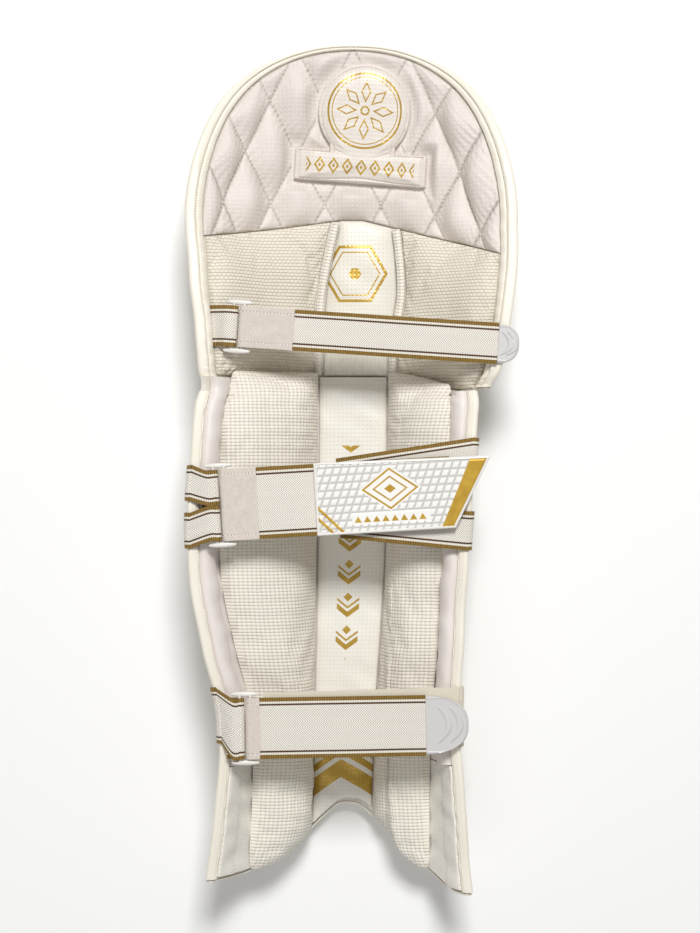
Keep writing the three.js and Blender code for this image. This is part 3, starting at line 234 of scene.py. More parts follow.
def dome_line(s, inset):
    """The dome's outline: a power curve across the half width, drawn in by inset."""
    across = np.clip(np.abs(s) / (reach(TOP_HAT, DOME_START, s) - inset), 0, 1)
    rise = LENGTH - crown_inset(inset) - DOME_START
    return DOME_START + rise * (1 - across ** CROWN_POWER) ** (1 / FLANK_POWER)


def knee_line(s):
    """The knee pads' top edge: it falls straight to each side from the cup."""
    return KNEE_TOP - np.where(s < 0, 0.14, 0.25) * np.maximum(np.abs(s) - 0.3 * CHANNEL, 0)


def knee_crossing(place):
    """Where the column whose place at any y is place(y) crosses the knee line, by six rounds of
    correction."""
    y = KNEE_TOP
    for _ in range(6):
        y = knee_line(place(y))
    return y


def edge_of(table, side, y):
    """An inner edge's place: the table's share of CHANNEL, on its own side."""
    return (-1 if side == "left" else 1) * CHANNEL * curve(table, side, y / LENGTH)


def rib_crest(s):
    """Round ribs side by side: each is a half circle's height over its own width, and 0 in the grooves."""
    ribbed = RIBS * RIB_PITCH / 2
    place = (s + ribbed) / RIB_PITCH
    return np.where(np.abs(s) < ribbed, crown(place - np.floor(place), 2), 0)


def thickness(surface, s, y, from_edge):
    """The padding under a place: its core thins towards the wing's edge and the rim, with the ribs on top."""
    top = surface is TOP_HAT
    core = 14.0 if top else 16.0
    far = reach(surface, np.minimum(y, DOME_START) if top else y, s)
    ribbed = RIBS * RIB_PITCH / 2
    body = core + (EDGE - core) * smooth(np.abs(s), ribbed * 0.9, far)
    body = EDGE + (body - EDGE) * smooth(from_edge, 0, 2 * core)
    rolls_top = SHIN_LENGTH + 6 + 3 * ROLL_PITCH
    ribs = smooth(y, rolls_top, rolls_top + 20) * 0.8 if top else 1.0
    return body + RIB_DEPTH * ribs * rib_crest(s)


# Meshes

def make(name, *solids):
    """One mesh from solids, each its points in the pad's frame, its faces, and each point's place on the
    cloth."""
    faces, first = [], 0
    for points, own, _ in solids:
        faces += [[first + corner for corner in face] for face in own]
        first += len(points)
    points = np.concatenate([solid[0] for solid in solids])
    cloth = np.concatenate([solid[2] for solid in solids])
    mesh = bpy.data.meshes.new(name)
    mesh.from_pydata(((points + SHIFT) * 0.001).tolist(), [], faces)
    field = mesh.attributes.new("cloth", "FLOAT_VECTOR", "POINT")
    field.data.foreach_set("vector", (cloth * 0.001).astype(np.float32).ravel())
    mesh.polygons.foreach_set("use_smooth", np.ones(len(mesh.polygons), bool))
    mesh.update()
    mesh.set_sharp_from_angle(angle=math.radians(55))
    piece = bpy.data.objects.new(name, mesh)
    bpy.context.collection.objects.link(piece)
    return piece


def volume_sign(points, faces):
    """Six times the volume inside the faces, and negative where they point inwards."""
    quads = points[faces]
    a, b, c, d = quads[:, 0], quads[:, 1], quads[:, 2], quads[:, 3]
    return np.sum(np.cross(b - a, c - a) * a) + np.sum(np.cross(c - a, d - a) * a)


def closed(under, over, cloth, wrap=False):
    """A closed solid between two grids of points with the same rows and columns, joined round their rims.
    With wrap each row is a ring, the first and last rows' rings are capped, and only the last ones are
    joined."""
    rows, columns = over.shape[:2]
    count = rows * columns
    ids = np.arange(count).reshape(rows, columns)
    side = np.roll(ids, -1, 1) if wrap else ids[:, 1:]
    own = ids if wrap else ids[:, :-1]

    def quads(a, b, c, d):
        return np.stack([a, b, c, d], -1).reshape(-1, 4)
    top = quads(own[:-1], side[:-1], side[1:], own[1:]) + count
    bottom = quads(own[:-1], own[1:], side[1:], side[:-1])
    if wrap:
        ring, after = ids[-1][::-1], np.roll(ids[-1][::-1], -1)
    else:
        ring = np.concatenate([ids[0, :-1], ids[:-1, -1], ids[-1, :0:-1], ids[:0:-1, 0]])
        after = np.roll(ring, -1)
    faces = np.concatenate([top, bottom, quads(ring, after, after + count, ring + count)])
    caps = [ids[0][::-1].tolist(), (ids[0] + count).tolist()] if wrap else []
    points = np.concatenate([under.reshape(-1, 3), over.reshape(-1, 3)])
    if volume_sign(points, faces) < 0:
        faces = faces[:, ::-1]
        caps = [cap[::-1] for cap in caps]
    return points, faces.tolist() + caps, np.concatenate([cloth.reshape(-1, 3)] * 2)


def run_across(points):
    """How far each point is from its row's middle, measured along the row."""
    step = np.linalg.norm(np.diff(points, axis=1), axis=-1)
    run = np.concatenate([np.zeros((len(points), 1)), np.cumsum(step, 1)], 1)
    return run - run[:, points.shape[1] // 2, None]


def layer(surface, s, y, low, high, edge=0.0, a=None, b=None, sewn=None):
    """A padded solid on a lining surface, from height low to height high at each (s, y) of its grid. Its
    cloth is (across, along, edge), and across is the real run over its upper skin unless a gives it. sewn
    lets the upper skin settle as cloth first."""
    over = skin(surface, s, y, high)
    cloth = stacked(run_across(over) if a is None else a, y if b is None else b, edge)
    under = skin(surface, s, y, low)
    if sewn is not None:
        over = over + settled(under, over, *sewn)
    return closed(under, over, cloth)


def spread(own, wanted):
    """The share that each of a few points has in each wanted place between them, by the cubic pieces of
    curve()."""
    return np.stack([curve({"along": own, "share": row}, "share", wanted) for row in np.eye(len(own))], -1)


def settled(under, over, step, pressure, spare, cap):
    """How far each point of a pad's upper skin moves once it is cloth: every step-th row and column makes
    a cloth sewn down along its rim and cut larger by the share spare. It is blown up from below for
    twenty frames. Each point's move is capped, and the points between take theirs from a smooth curve
    through their neighbours'."""
    rows, columns = (np.unique(np.append(np.arange(0, n, step), n - 1)) for n in over.shape[:2])
    rest = over[np.ix_(rows, columns)] * 0.001
    ids = np.arange(rest.shape[0] * rest.shape[1]).reshape(rest.shape[:2])
    faces = np.stack([ids[:-1, :-1], ids[:-1, 1:], ids[1:, 1:], ids[1:, :-1]], -1).reshape(-1, 4)
    middle = ids[len(rows) // 2, len(columns) // 2]
    corner = rest.reshape(-1, 3)
    normal = np.cross(corner[middle + 1] - corner[middle], corner[middle + len(columns)] - corner[middle])
    if normal @ (over - under)[len(over) // 2, over.shape[1] // 2] < 0:
        faces = faces[:, ::-1]
    mesh = bpy.data.meshes.new("settling cloth")
    mesh.from_pydata(corner.tolist(), [], faces.tolist())
    body = bpy.data.objects.new("settling cloth", mesh)
    bpy.context.collection.objects.link(body)
    rim = np.unique(np.concatenate([ids[0], ids[-1], ids[:, 0], ids[:, -1]]))
    body.vertex_groups.new(name="rim").add(rim.tolist(), 1.0, "REPLACE")
    cloth = body.modifiers.new("cloth", "CLOTH")
    cloth.settings.vertex_group_mass = "rim"
    cloth.settings.quality = 6
    cloth.settings.use_pressure = True
    cloth.settings.uniform_pressure_force = pressure
    cloth.settings.shrink_min = -spare
    cloth.settings.effector_weights.gravity = 0
    cloth.collision_settings.use_collision = False
    for frame in range(1, 21):
        bpy.context.scene.frame_set(frame)
    shown = body.evaluated_get(bpy.context.evaluated_depsgraph_get()).data
    moved = np.empty(corner.size)
    shown.vertices.foreach_get("co", moved)
    move = (moved.reshape(rest.shape) - rest) * 1000
    length = np.maximum(np.linalg.norm(move, axis=-1, keepdims=True), 1e-6)
    move = move * np.tanh(length / cap) * cap / length
    bpy.context.scene.frame_set(1)
    bpy.data.objects.remove(body)
    bpy.data.meshes.remove(mesh)
    down, along = spread(rows, np.arange(over.shape[0])), spread(columns, np.arange(over.shape[1]))
    return np.einsum("ri,ijk,cj->rck", down, move, along)


def band(route, thick, side, width):
    """A strap: rows of points along a route, given an even thickness along the normal of the surface that
    they make, thinner at the two selvedges. Its cloth is (across, along, distance from the selvedge)."""
    along = np.gradient(route, axis=0)
    across = np.gradient(route, axis=1)
    normal = np.cross(across, along)
    normal /= np.linalg.norm(normal, axis=-1, keepdims=True)
    flat = np.stack([-along[..., 2], 0 * along[..., 0], along[..., 0]], -1)
    normal *= np.sign(np.sum(normal * flat, -1, keepdims=True)) * side
    t = even(route.shape[1])
    swell = (0.5 + 0.5 * crown(0.02 + 0.96 * t, 10))[None, :, None]
    middle = route + normal * thick / 2
    step = np.linalg.norm(np.diff(route[:, route.shape[1] // 2], axis=0), axis=-1)
    run = np.concatenate([[0], np.cumsum(step)])
    place = (t - 0.5) * width
    cloth = stacked(place[None], run[:, None], width / 2 - np.abs(place)[None])
    return closed(middle - normal * swell * thick / 2, middle + normal * swell * thick / 2, cloth)


def refine(points, per):
    """A route through control points: Catmull-Rom pieces with per steps each. points is (stations,
    across, 3)."""
    points = np.asarray(points, float)
    ends = np.concatenate([2 * points[:1] - points[1:2], points, 2 * points[-1:] - points[-2:-1]])
    p0, p1, p2, p3 = ends[:-3, None], ends[1:-2, None], ends[2:-1, None], ends[3:, None]
    t = np.linspace(0, 1, per, endpoint=False)[None, :, None, None]
    out = p1 + 0.5 * t * (p2 - p0 + t * (2 * p0 - 5 * p1 + 4 * p2 - p3 + t * (3 * (p1 - p2) + p3 - p0)))
    return np.concatenate([out.reshape(-1, *points.shape[1:]), points[-1:]])


def tube(centres, radii, sides=14, flatten=1.0):
    """Rings of points round a line of centres: radius times (cos, sin) in the plane square to the line."""
    centres = np.asarray(centres, float)
    run = np.gradient(centres, axis=0)
    run /= np.linalg.norm(run, axis=-1, keepdims=True)
    level = np.cross(run, [0, 0, 1.0])
    level /= np.linalg.norm(level, axis=-1, keepdims=True)
    lift = np.cross(level, run)
    angle = np.linspace(0, 2 * np.pi, sides, endpoint=False)[None, :, None]
    radii = np.broadcast_to(radii, len(centres))[:, None, None]
    spoke = level[:, None] * np.cos(angle) + flatten * lift[:, None] * np.sin(angle)
    rings = centres[:, None] + radii * spoke
    ids = np.arange(len(centres) * sides).reshape(-1, sides)
    side = np.roll(ids, -1, 1)
    faces = np.stack([ids[:-1], side[:-1], side[1:], ids[1:]], -1).reshape(-1, 4)
    caps = [ids[0][::-1].tolist(), ids[-1].tolist()]
    points = rings.reshape(-1, 3)
    if volume_sign(points, faces) < 0:
        faces = faces[:, ::-1]
        caps = [cap[::-1] for cap in caps]
    length = np.concatenate([[0], np.cumsum(np.linalg.norm(np.diff(centres, axis=0), axis=-1))])
    cloth = stacked(angle[..., 0] * 2.0, length[:, None], 0.0)
    return points, faces.tolist() + caps, cloth.reshape(-1, 3)


# Materials

def linear(code):
    """A six-figure sRGB colour as the linear values that a shader takes."""
    parts = [int(code[i:i + 2], 16) / 255 for i in (1, 3, 5)]
    return tuple(c / 12.92 if c < 0.04045 else ((c + 0.055) / 1.055) ** 2.4 for c in parts) + (1.0,)


def add_node(tree, kind, inputs, **settings):
    """Adds one node, sets it up, and gives each input its value or link. Returns the node's first output."""
    node = tree.nodes.new(kind)
    for key, value in settings.items():
        setattr(node, key, value)
    for key, value in (inputs.items() if isinstance(inputs, dict) else enumerate(inputs)):
        value = getattr(value, "socket", value)
        if isinstance(value, bpy.types.NodeSocket):
            tree.links.new(value, node.inputs[key])
        else:
            node.inputs[key].default_value = value
    return node.outputs[0]


def math_step(operation, swapped=False):
    """A method that adds one math node, with the number itself first, or last where swapped."""
    def method(self, *others):
        return self.step(operation, *((*others, self) if swapped else (self, *others)))
    return method


class Value:
    """A number in a shader that can be written in sums: every step is one math node."""

    def __init__(self, tree, socket):
        self.tree, self.socket = tree, socket

    def step(self, operation, *inputs, **settings):
        """Adds one math node on these inputs."""
        node = add_node(self.tree, "ShaderNodeMath", inputs, operation=operation, **settings)
        return Value(self.tree, node)

    __add__ = __radd__ = math_step("ADD")
    __sub__ = math_step("SUBTRACT")
    __rsub__ = math_step("SUBTRACT", swapped=True)
    __mul__ = math_step("MULTIPLY")
    __truediv__ = math_step("DIVIDE")
    __pow__ = math_step("POWER")
    __abs__ = math_step("ABSOLUTE")
    fract = math_step("FRACT")
    floor = math_step("FLOOR")
    sin = math_step("SINE")
    cos = math_step("COSINE")
    turn = math_step("ARCTAN2")
    top = math_step("MAXIMUM")
    low = math_step("MINIMUM")
    above = math_step("GREATER_THAN")
    below = math_step("LESS_THAN")

    def sqrt(self):
        """The square root, and 0 for what is below 0."""
        return self.step("SQRT", self.top(0))

    def waves(self, pitch):
        """Even waves from -1 to 1, one at each pitch in millimetres."""
        return (self * (6.283 / pitch)).sin()

    def ramp(self, low, high):
        """0 below low and 1 above high, straight between."""
        return self.step("MULTIPLY", self - low, 1 / (high - low), use_clamp=True)


class Look:
    """A material in the making: its places on the cloth, its surface and its relief."""

    def __init__(self, name, slot):
        self.material = bpy.data.materials.new(name)
        self.material.use_nodes = True
        self.tree = self.material.node_tree
        self.bsdf = self.tree.nodes["Principled BSDF"]
        self.slot = slot
        place = add_node(self.tree, "ShaderNodeAttribute", {}, attribute_name="cloth").node.outputs["Vector"]
        parts = add_node(self.tree, "ShaderNodeSeparateXYZ", [place]).node.outputs
        # Millimetres across the cloth, along it, and in from a seam or selvedge
        self.a, self.b, self.c = (Value(self.tree, part) * 1000.0 for part in parts)
        self.object = add_node(self.tree, "ShaderNodeTexCoord", {}).node.outputs["Object"]

    def noise(self, size, detail=2.0):
        """Noise from 0 to 1 with features of about size millimetres."""
        return Value(self.tree, add_node(self.tree, "ShaderNodeTexNoise", {
            "Vector": self.object, "Scale": 1000.0 / size, "Detail": detail}))

    def mix(self, share, first, second):
        """Blends two colours by a share."""
        colours = [linear(c) if isinstance(c, str) else c for c in (first, second)]
        return Value(self.tree, add_node(self.tree, "ShaderNodeMix", {
            0: share, 6: colours[0], 7: colours[1]}, data_type="RGBA").node.outputs[2])

    def set(self, colour, rough, relief=None, metal=0.0, sheen=0.0, coat=0.0):
        """Joins each share of the surface to the shader: constants on its own sockets, relief as a bump."""
        values = {"Base Color": linear(colour) if isinstance(colour, str) else colour,
                  "Roughness": rough, "Metallic": metal, "Sheen Weight": sheen, "Coat Weight": coat}
        for key, value in values.items():
            value = getattr(value, "socket", value)
            if isinstance(value, bpy.types.NodeSocket):
                self.tree.links.new(value, self.bsdf.inputs[key])
            else:
                self.bsdf.inputs[key].default_value = value
        if relief is not None:
            bump = add_node(self.tree, "ShaderNodeBump", {"Height": relief * 0.001, "Distance": 1.0})
            self.tree.links.new(bump, self.bsdf.inputs["Normal"])
        return self


def beside(distance, width):
    """1 on a line, and it falls to 0 at that width from the line."""
    return 1.0 - (distance / width).low(1.0)


def dashes(along, pitch, share=0.36):
    """1 on the thread of each stitch along a seam, and 0 between the stitches."""
    return abs((along / pitch).fract() - 0.5).below(share)


def stitches(distance, along):
    """Dashes of thread along a seam, from the distance to it and the place along it."""
    return beside(distance, 0.7) * dashes(along, STITCH)


def leatherette(sewn=False):
    """Cream coated cloth: a fine pebbled grain and slow, slight yellowing. Where it is sewn, stitches run
    along the grooves between the ribs and twice along the wing's edge, with painted shade along them."""
    look = Look("sewn cream leatherette" if sewn else "cream leatherette", "leatherette")
    grain = look.noise(1.1, 3.0)
    colour = look.mix(look.noise(90.0), "#e6dfd0", "#efeae0")
    relief = grain * 0.06 + look.noise(14.0) * 0.15
    if sewn:
        groove = abs((look.a / RIB_PITCH + 1.0).fract() - 0.5) * RIB_PITCH + abs(look.a).above(96.0) * 50.0
        seam = groove.low(abs(look.c - 11.0)).low(abs(look.c - 15.0))
        stitch = stitches(seam, look.b)
        # Painted shade: the rib grooves and edge seams are darkened towards #a1957f
        colour = look.mix(beside(seam, 1.1) * 0.6, colour.socket, "#a1957f")
        colour = look.mix(stitch, colour.socket, "#faf7f0")
        relief = relief + stitch * 0.3 - beside(seam, 1.4) * 0.3
    return look.set(colour, 0.42 + grain * 0.12, relief)


def binding():
    """Bound edge: the same coated cloth, with lockstitches near its inner edge in a groove of painted shade.
    """
    look = Look("stitched binding", "leatherette")
    grain = look.noise(1.1, 3.0)
    pitch, seam = 3.4, abs(look.c - 4.5)
    row = beside(seam, 0.6)
    stitch = row * dashes(look.b, pitch)
    # Painted shade: the stitched groove is darkened towards #a89c86
    colour = look.mix(row * 0.75, look.mix(look.noise(70.0), "#ebe4d3", "#f5f0e5").socket, "#a89c86")
    colour = look.mix(stitch, colour.socket, "#faf7f0")
    pucker = look.b.waves(pitch) * beside(seam, 4.0)
    return look.set(colour, 0.45, grain * 0.08 + stitch * 0.35 - row * 0.4 + pucker * 0.15)


def dimples(look):
    """Small round dimples in a square grid of 3.7 mm: 0 between them and 1 in their middles."""
    pitch = 3.7
    turn = 6.2832 / pitch
    return ((look.a * turn).cos() + (look.b * turn).cos()).ramp(0.2, 1.9)


def quilted():
    """Dull coated cloth over foam, pinkish grey, with a grid of dimples and white thread sunk in its
    seams. Painted highlights lighten the dimples, and painted shade darkens the seams' grooves."""
    look = Look("quilted satin leatherette", "quilted_leatherette")
    dimple = dimples(look)
    stitch = stitches(look.c, look.b)
    tone = look.mix(look.noise(60.0), "#d6cec6", "#e2dad3")
    seam = beside(look.c, 1.5)
    # Painted highlight: the dimples are lightened towards #efe9e1
    colour = look.mix(dimple * 0.3, tone.socket, "#efe9e1")
    # Painted shade: the seam grooves are darkened towards #83766a
    colour = look.mix(seam * 0.85, colour.socket, "#83766a")
    colour = look.mix(stitch, colour.socket, "#f4efe6")
    return look.set(colour, 0.58, dimple * -0.2 + stitch * 0.35 - seam * 0.3 + look.noise(5.0) * 0.12)


def dimpled(name, slot, first, second, pattern):
    """Coated cloth with a grid of small round dimples darkened by painted shade, printed in shiny gold ink
    where the pattern says.
    """
    look = Look(name, slot)
    dimple, printed = dimples(look), pattern(look)
    # Painted shade: the dimples are darkened towards #b9ae9f
    colour = look.mix(dimple * 0.16, look.mix(look.noise(50.0), first, second).socket, "#b9ae9f")
    ink = look.mix(look.noise(9.0), "#a37f24", "#d6b250")
    colour = look.mix(printed, colour.socket, ink.socket)
    return look.set(colour, 0.42 - printed * 0.1, dimple * -0.13, printed * 0.3)


def spacer_mesh(name="knitted spacer mesh", stagger=0.0, hole_shade_colour="#b0a793", yarn="#f0ebe0"):
    """Knitted spacer mesh: soft pads of yarn, 4.1 by 3.0 mm, with a short hole where four of them meet.
    Painted shade darkens each pad towards its edges and fills the holes."""
    look = Look(name, "spacer_mesh")
    wide, high = 4.1, 3.0
    row = look.b / high
    across = abs((look.a / wide + row.floor() * stagger).fract() - 0.5)
    up = abs(row.fract() - 0.5)
    hole = up.ramp(0.3, 0.47) * across.ramp(0.18, 0.38)
    pad = ((across * 3.1416).cos() * (up * 3.1416).cos()).top(0) ** 0.6
    # Painted shade: each pad darkens towards #b9b09d at its edges
    colour = look.mix(pad.ramp(0.0, 0.5) * 0.35 + 0.65, "#b9b09d", yarn)
    # Painted shade: the holes between the pads are darkened
    colour = look.mix(hole * 0.5, colour.socket, hole_shade_colour)
    colour = look.mix(look.noise(80.0) * 0.25, colour.socket, "#e4dccb")
    return look.set(colour, 0.75, pad * 0.5 - hole * 0.3 + look.noise(0.8) * 0.08, sheen=0.15)


def plain_cloth(name, slot, first, second, pitch, depth, twill=False, rough=0.7):
    """Fine cloth: crossed threads at a pitch in millimetres, or slanting ones for a twill."""
    look = Look(name, slot)
    threads = (look.a + look.b, look.a - look.b) if twill else (look.a, look.b)
    weave = threads[0].waves(pitch) * threads[1].waves(pitch)
    share = weave.ramp(-1.0, 1.0)
    colour = look.mix(share * 0.8 + look.noise(60.0) * 0.2, first, second)
    return look.set(colour, rough, share * depth + look.noise(8.0) * 0.1, sheen=0.1)


def webbing():
    """Woven strap: white herringbone, a gold band along each selvedge and a thin brown line inside it."""
    look = Look("striped webbing", "webbing")
    chevron, rib, gold_band, line_from, line_to = 10.4, 2.1, 3.4, 5.3, 6.9
    way = (look.a / chevron).fract().above(0.5) * 2.0 - 1.0
    ridge = (look.b + way * look.a).waves(rib).ramp(-0.8, 0.6)
    gold = look.c.below(gold_band)
    line = look.c.above(line_from) * look.c.below(line_to)
    thread = look.b.waves(1.5).ramp(-0.9, 0.7)
    body = look.mix(ridge, "#beb2a3", "#f8f5ee")
    colour = look.mix(look.c.below(line_from), body.socket, look.mix(thread, "#cfc5b4", "#f6f2e8").socket)
    band_colour = look.mix(thread * 0.6 + look.noise(3.0) * 0.4, "#2f1f07", "#b08a35")
    colour = look.mix(gold, colour.socket, band_colour.socket)
    colour = look.mix(line, colour.socket, look.mix(thread, "#2c1b0a", "#5d4019").socket)
    return look.set(colour, 0.72 - gold * 0.15, ridge * 0.22 + thread * gold * 0.25, gold * 0.15, sheen=0.1)


def sleeve_cloth():
    """Brushed cloth of the sleeves: a soft pinkish beige nap, with a stitched hem near each side whose
    crease is darkened by painted shade.
    """
    look = Look("brushed sleeve cloth", "sleeve_cloth")
    twill = (look.a + look.b).waves(2.2).ramp(-1.0, 1.0)
    hem = beside(abs(look.c - 4.6), 0.8)
    thread = hem * dashes(look.b, 3.0, 0.33)
    colour = look.mix(look.noise(3.0, 3.0) * 0.6 + twill * 0.4, "#c6baae", "#e6ddd4")
    # Painted shade: the hem's crease is darkened towards #a3968a
    colour = look.mix(hem * 0.6, colour.socket, "#a3968a")
    colour = look.mix(thread, colour.socket, "#f1ebe3")
    relief = twill * 0.25 + look.noise(1.2, 3.0) * 0.3 - hem * 0.5 + thread * 0.3
    return look.set(colour, 0.9, relief, sheen=0.3)


def moulded(name, slot, colour, rough):
    """Plain moulded plastic or rubber with the faintest unevenness."""
    look = Look(name, slot)
    return look.set(colour, rough, look.noise(6.0) * 0.05, coat=0.1)


def badge_print(look):
    """Eight lozenges in outline round a small ring, inside a broad ring, and a row of lozenges on the bar."""
    a, b = look.a, look.b
    far = (a * a + b * b).sqrt()
    angle = b.turn(a) / 0.7854 + 0.5
    fold = (angle.fract() - 0.5) * 0.7854
    p, q = far * fold.cos() - 16.5, far * fold.sin()
    petal = abs((abs(p) / 9.5 + abs(q) / 4.6) - 0.86).below(0.15)
    rings = abs(far - 33.0).below(0.9).top(abs(far - 29.6).below(0.45)).top(abs(far - 3.4).below(0.8))
    disc = petal.top(rings) * far.below(35.0)
    cell = ((a / 12.5 + 0.5).fract() - 0.5) * 12.5
    lozenge = abs(cell) / 5.2 + abs(b + 50.1) / 7.4
    bar = (lozenge.below(1.0) - lozenge.below(0.62) + lozenge.below(0.26)) * abs(a).below(50.0)
    return disc.top(bar)


def channel_print(look):
    """A column of chevrons up the strip, and at its foot a gold field crossed by two white chevrons."""
    a, b = look.a + 3.0, look.b
    step = ((b / 30.0).fract() - 0.5) * 30.0
    bend = abs(a) * 0.75
    chevron = abs(step - bend + 9.0).below(2.6).top(abs(step - bend + 2.5).below(1.1)) * abs(a).below(10.5)
    lozenge = (abs(a) / 4.2 + abs(step + 1.0 - 8.0) / 4.2).below(1.0)
    column = chevron.top(lozenge) * b.above(205.0) * b.below(400.0)
    slope = b + abs(a) * 0.55
    field = slope.below(150.0)
    stripes = abs(slope - 128.0).below(2.6).top(abs(slope - 116.0).below(2.6)).top(slope.below(97.0))
    return column.top(field - (field * stripes))


def cup_print(look):
    """Two hexagons in outline, one inside the other, round a small solid one."""
    a, b = look.a, look.b
    hexagon = (abs(a) * 0.866 + abs(b) * 0.5).top(abs(b))
    return abs(hexagon - 24.5).below(1.3).top(abs(hexagon - 19.5).below(0.6)).top(hexagon.below(5.0))


def patch_end(b):
    """The patch's slanted end, at each place across it."""
    return (b + PATCH_HALF) * (PATCH_TOP - PATCH_FOOT) / PATCH_END + PATCH_FOOT


def patch_bar(b):
    """How wide the bar at the patch's end is, at each place across it."""
    return (b + PATCH_HALF) * 5 / PATCH_END + 12.6


def patch_corner(a, b):
    """How far a place on the patch is from the slanting line at its first corner."""
    return a - 2 + (b + 7.5) * 0.95


def patch_lozenge(a, b):
    """Rises from 0 in the middle of the patch's lozenge to 1 on its outline, 52 by 38 mm."""
    return abs(a - 65) / 26 + abs(b - 6) / 19


def patch_plastic():
    """Moulded soft plastic: white studs with painted grey shade in their grooves, and gold on the end bar,
    the corner stripes, a lozenge within a lozenge and a row of small triangles."""
    look = Look("moulded patch plastic", "moulded_patch")
    a, b = look.a, look.b
    cells = [0.5 - abs(n.fract() - 0.5) for n in ((a - b * 0.4) / STUD_ALONG, b / STUD_ACROSS)]
    groove = 1.0 - (cells[0] * STUD_ALONG).low(cells[1] * STUD_ACROSS).ramp(0.1, 1.3)
    shape = patch_lozenge(a, b)
    motif = abs(shape - 0.9).below(0.055).top(abs(shape - 0.55).below(0.045)).top(shape.below(0.2))
    cell = ((a / 8.0).fract() - 0.5) * 8.0
    rise = b + 22.0
    row = (abs(cell) + rise * 0.6).below(3.2) * rise.above(0.0) * abs(a - 65.0).below(32.0)
    back = patch_end(b) - a
    bar = back.above(2.6) * back.below(patch_bar(b))
    slant = patch_corner(a, b)
    stripe = abs(slant).below(1.7).top(abs(slant + 9.0).below(1.7)) * b.below(-5.0)
    plain = shape.below(1.05).top(abs(a - 65.0).below(34.0) * abs(b + 19.0).below(5.0))
    marked = bar.top(stripe) * look.c.above(2.2)
    groove = groove * (1.0 - plain.top(marked)) * look.c.above(2.4)
    # Painted shade: the grooves between the studs are greyed towards #a7a4a0
    colour = look.mix(groove * 0.75, look.mix(look.noise(40.0), "#eae8e2", "#f1efeb").socket, "#a7a4a0")
    ink = look.mix(look.noise(9.0), "#ad8322", "#dcb548")
    gold = motif.top(row).top(marked)
    colour = look.mix(gold, colour.socket, ink.socket)
    return look.set(colour, 0.4 - gold * 0.1, look.noise(1.5) * 0.04, gold * 0.3)


# Pieces

def stand_in(node, look, *solids, fill=None):
    """The piece that is shown for a CAD node, with its material. fill, how full it is where it is padded, is
    not used.
    """
    piece, slot = make(node + "_surface", *solids), look.slot
    piece.data.materials.append(look.material)
    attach(piece, "root")
    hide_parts(node)
    return piece


def shell_columns():
    """Columns across a shell: each rib's own shares crowd towards its grooves, and each wing's towards
    its edge."""
    ribs = np.concatenate([i + rims(13)[:-1] for i in range(RIBS)] + [[RIBS]]) * 2 / RIBS - 1
    wings = np.sin(even(19)[1:] * np.pi / 2)
    return np.concatenate([-1 - wings[::-1], ribs, 1 + wings])[None]


def column_place(column, far):
    """Columns from -1 to 1 lie on the ribs, and the rest share out what is left of the wing."""
    ribbed = RIBS * RIB_PITCH / 2
    outside = np.maximum(np.abs(column) - 1, 0) * (far - ribbed)
    return np.clip(column, -1, 1) * ribbed + np.sign(column) * outside


def on_floor(points):
    """What lies on the floor is pressed flat against it."""
    points[..., 2] = np.maximum(points[..., 2], 0)
    return points


def on_face(surface, s, y, low, high, edge):
    """A padded solid under a lining surface, pressed flat where it lies on the floor."""
    return closed(on_floor(skin(surface, s, y, low)), skin(surface, s, y, high), stacked(s, y, edge))


def grid(place, v, foot, top):
    """A piece's grid: y runs from its foot to its top, and s is what place gives at that y."""
    y = foot + (top - foot) * v
    return place(y), y


def waving(place, pitch, phase=0):
    """Even waves, one at each pitch in millimetres."""
    return np.sin(6.28 * place / pitch + phase)


def add_shells(look):
    """The shells' lining side is smooth. Their face follows thickness(), with soft unevenness of up to
    0.8 mm."""
    u, v = shell_columns(), even(84)[:, None]

    def shin_place(y):
        return column_place(u, reach(SHIN, y, u))
    foot, top = arch_line(shin_place(0.0)), knee_seam(shin_place(SHIN_LENGTH))
    s, y = grid(shin_place, v, foot, top)
    body = thickness(SHIN, s, y, LENGTH) + 0.5 * ripple(s, y, 3, 60)
    face = on_face(SHIN, s, y, -body, 0, reach(SHIN, y, s) - np.abs(s))
    stand_in("shin_face", look, face, fill=0.8)

    def hat_place(y):
        return column_place(u, reach(TOP_HAT, np.minimum(y, DOME_START), u))
    foot, top = knee_seam(hat_place(SHIN_LENGTH)) + 1.5 * GAP, dome_line(hat_place(DOME_START), 0)
    s, y = grid(hat_place, v, foot, top)
    body = thickness(TOP_HAT, s, y, top - y) + 0.5 * ripple(s, y, 4, 60) * smooth(top - y, 0, 20)
    from_edge = np.minimum(reach(TOP_HAT, np.minimum(y, DOME_START), s) - np.abs(s), top - y)
    stand_in("top_hat_face", look, on_face(TOP_HAT, s, y, -body, 0, from_edge), fill=0.8)


def add_knee_rolls(look):
    """Each roll's depth is a crown along it times a crown across it, with creases that run across its
    seams."""
    for i, name in enumerate(["lower", "middle", "upper"]):
        u, v = rims(110)[None], rims(30)[:, None]
        s = ROLL_LENGTH * (u - 0.5) + 0 * v
        y = SHIN_LENGTH + 4 + i * ROLL_PITCH + v * ROLL_WIDTH + 0 * u
        back = -thickness(TOP_HAT, s, y, LENGTH) - GAP
        crease = ripple(s, y * 0.2, 11 + i, 13) * (1 - crown(v, 6)) * 0.9
        depth = 0.8 + (KNEE_DEPTH + crease + 0.4 * ripple(s, y, 21 + i, 40)) * crown(v, 2.4) * crown(u, 6)
        roll = on_face(TOP_HAT, s, y, back - depth, back, 0.0 * s)
        stand_in("knee_roll_" + name, look, roll, fill=0.9)


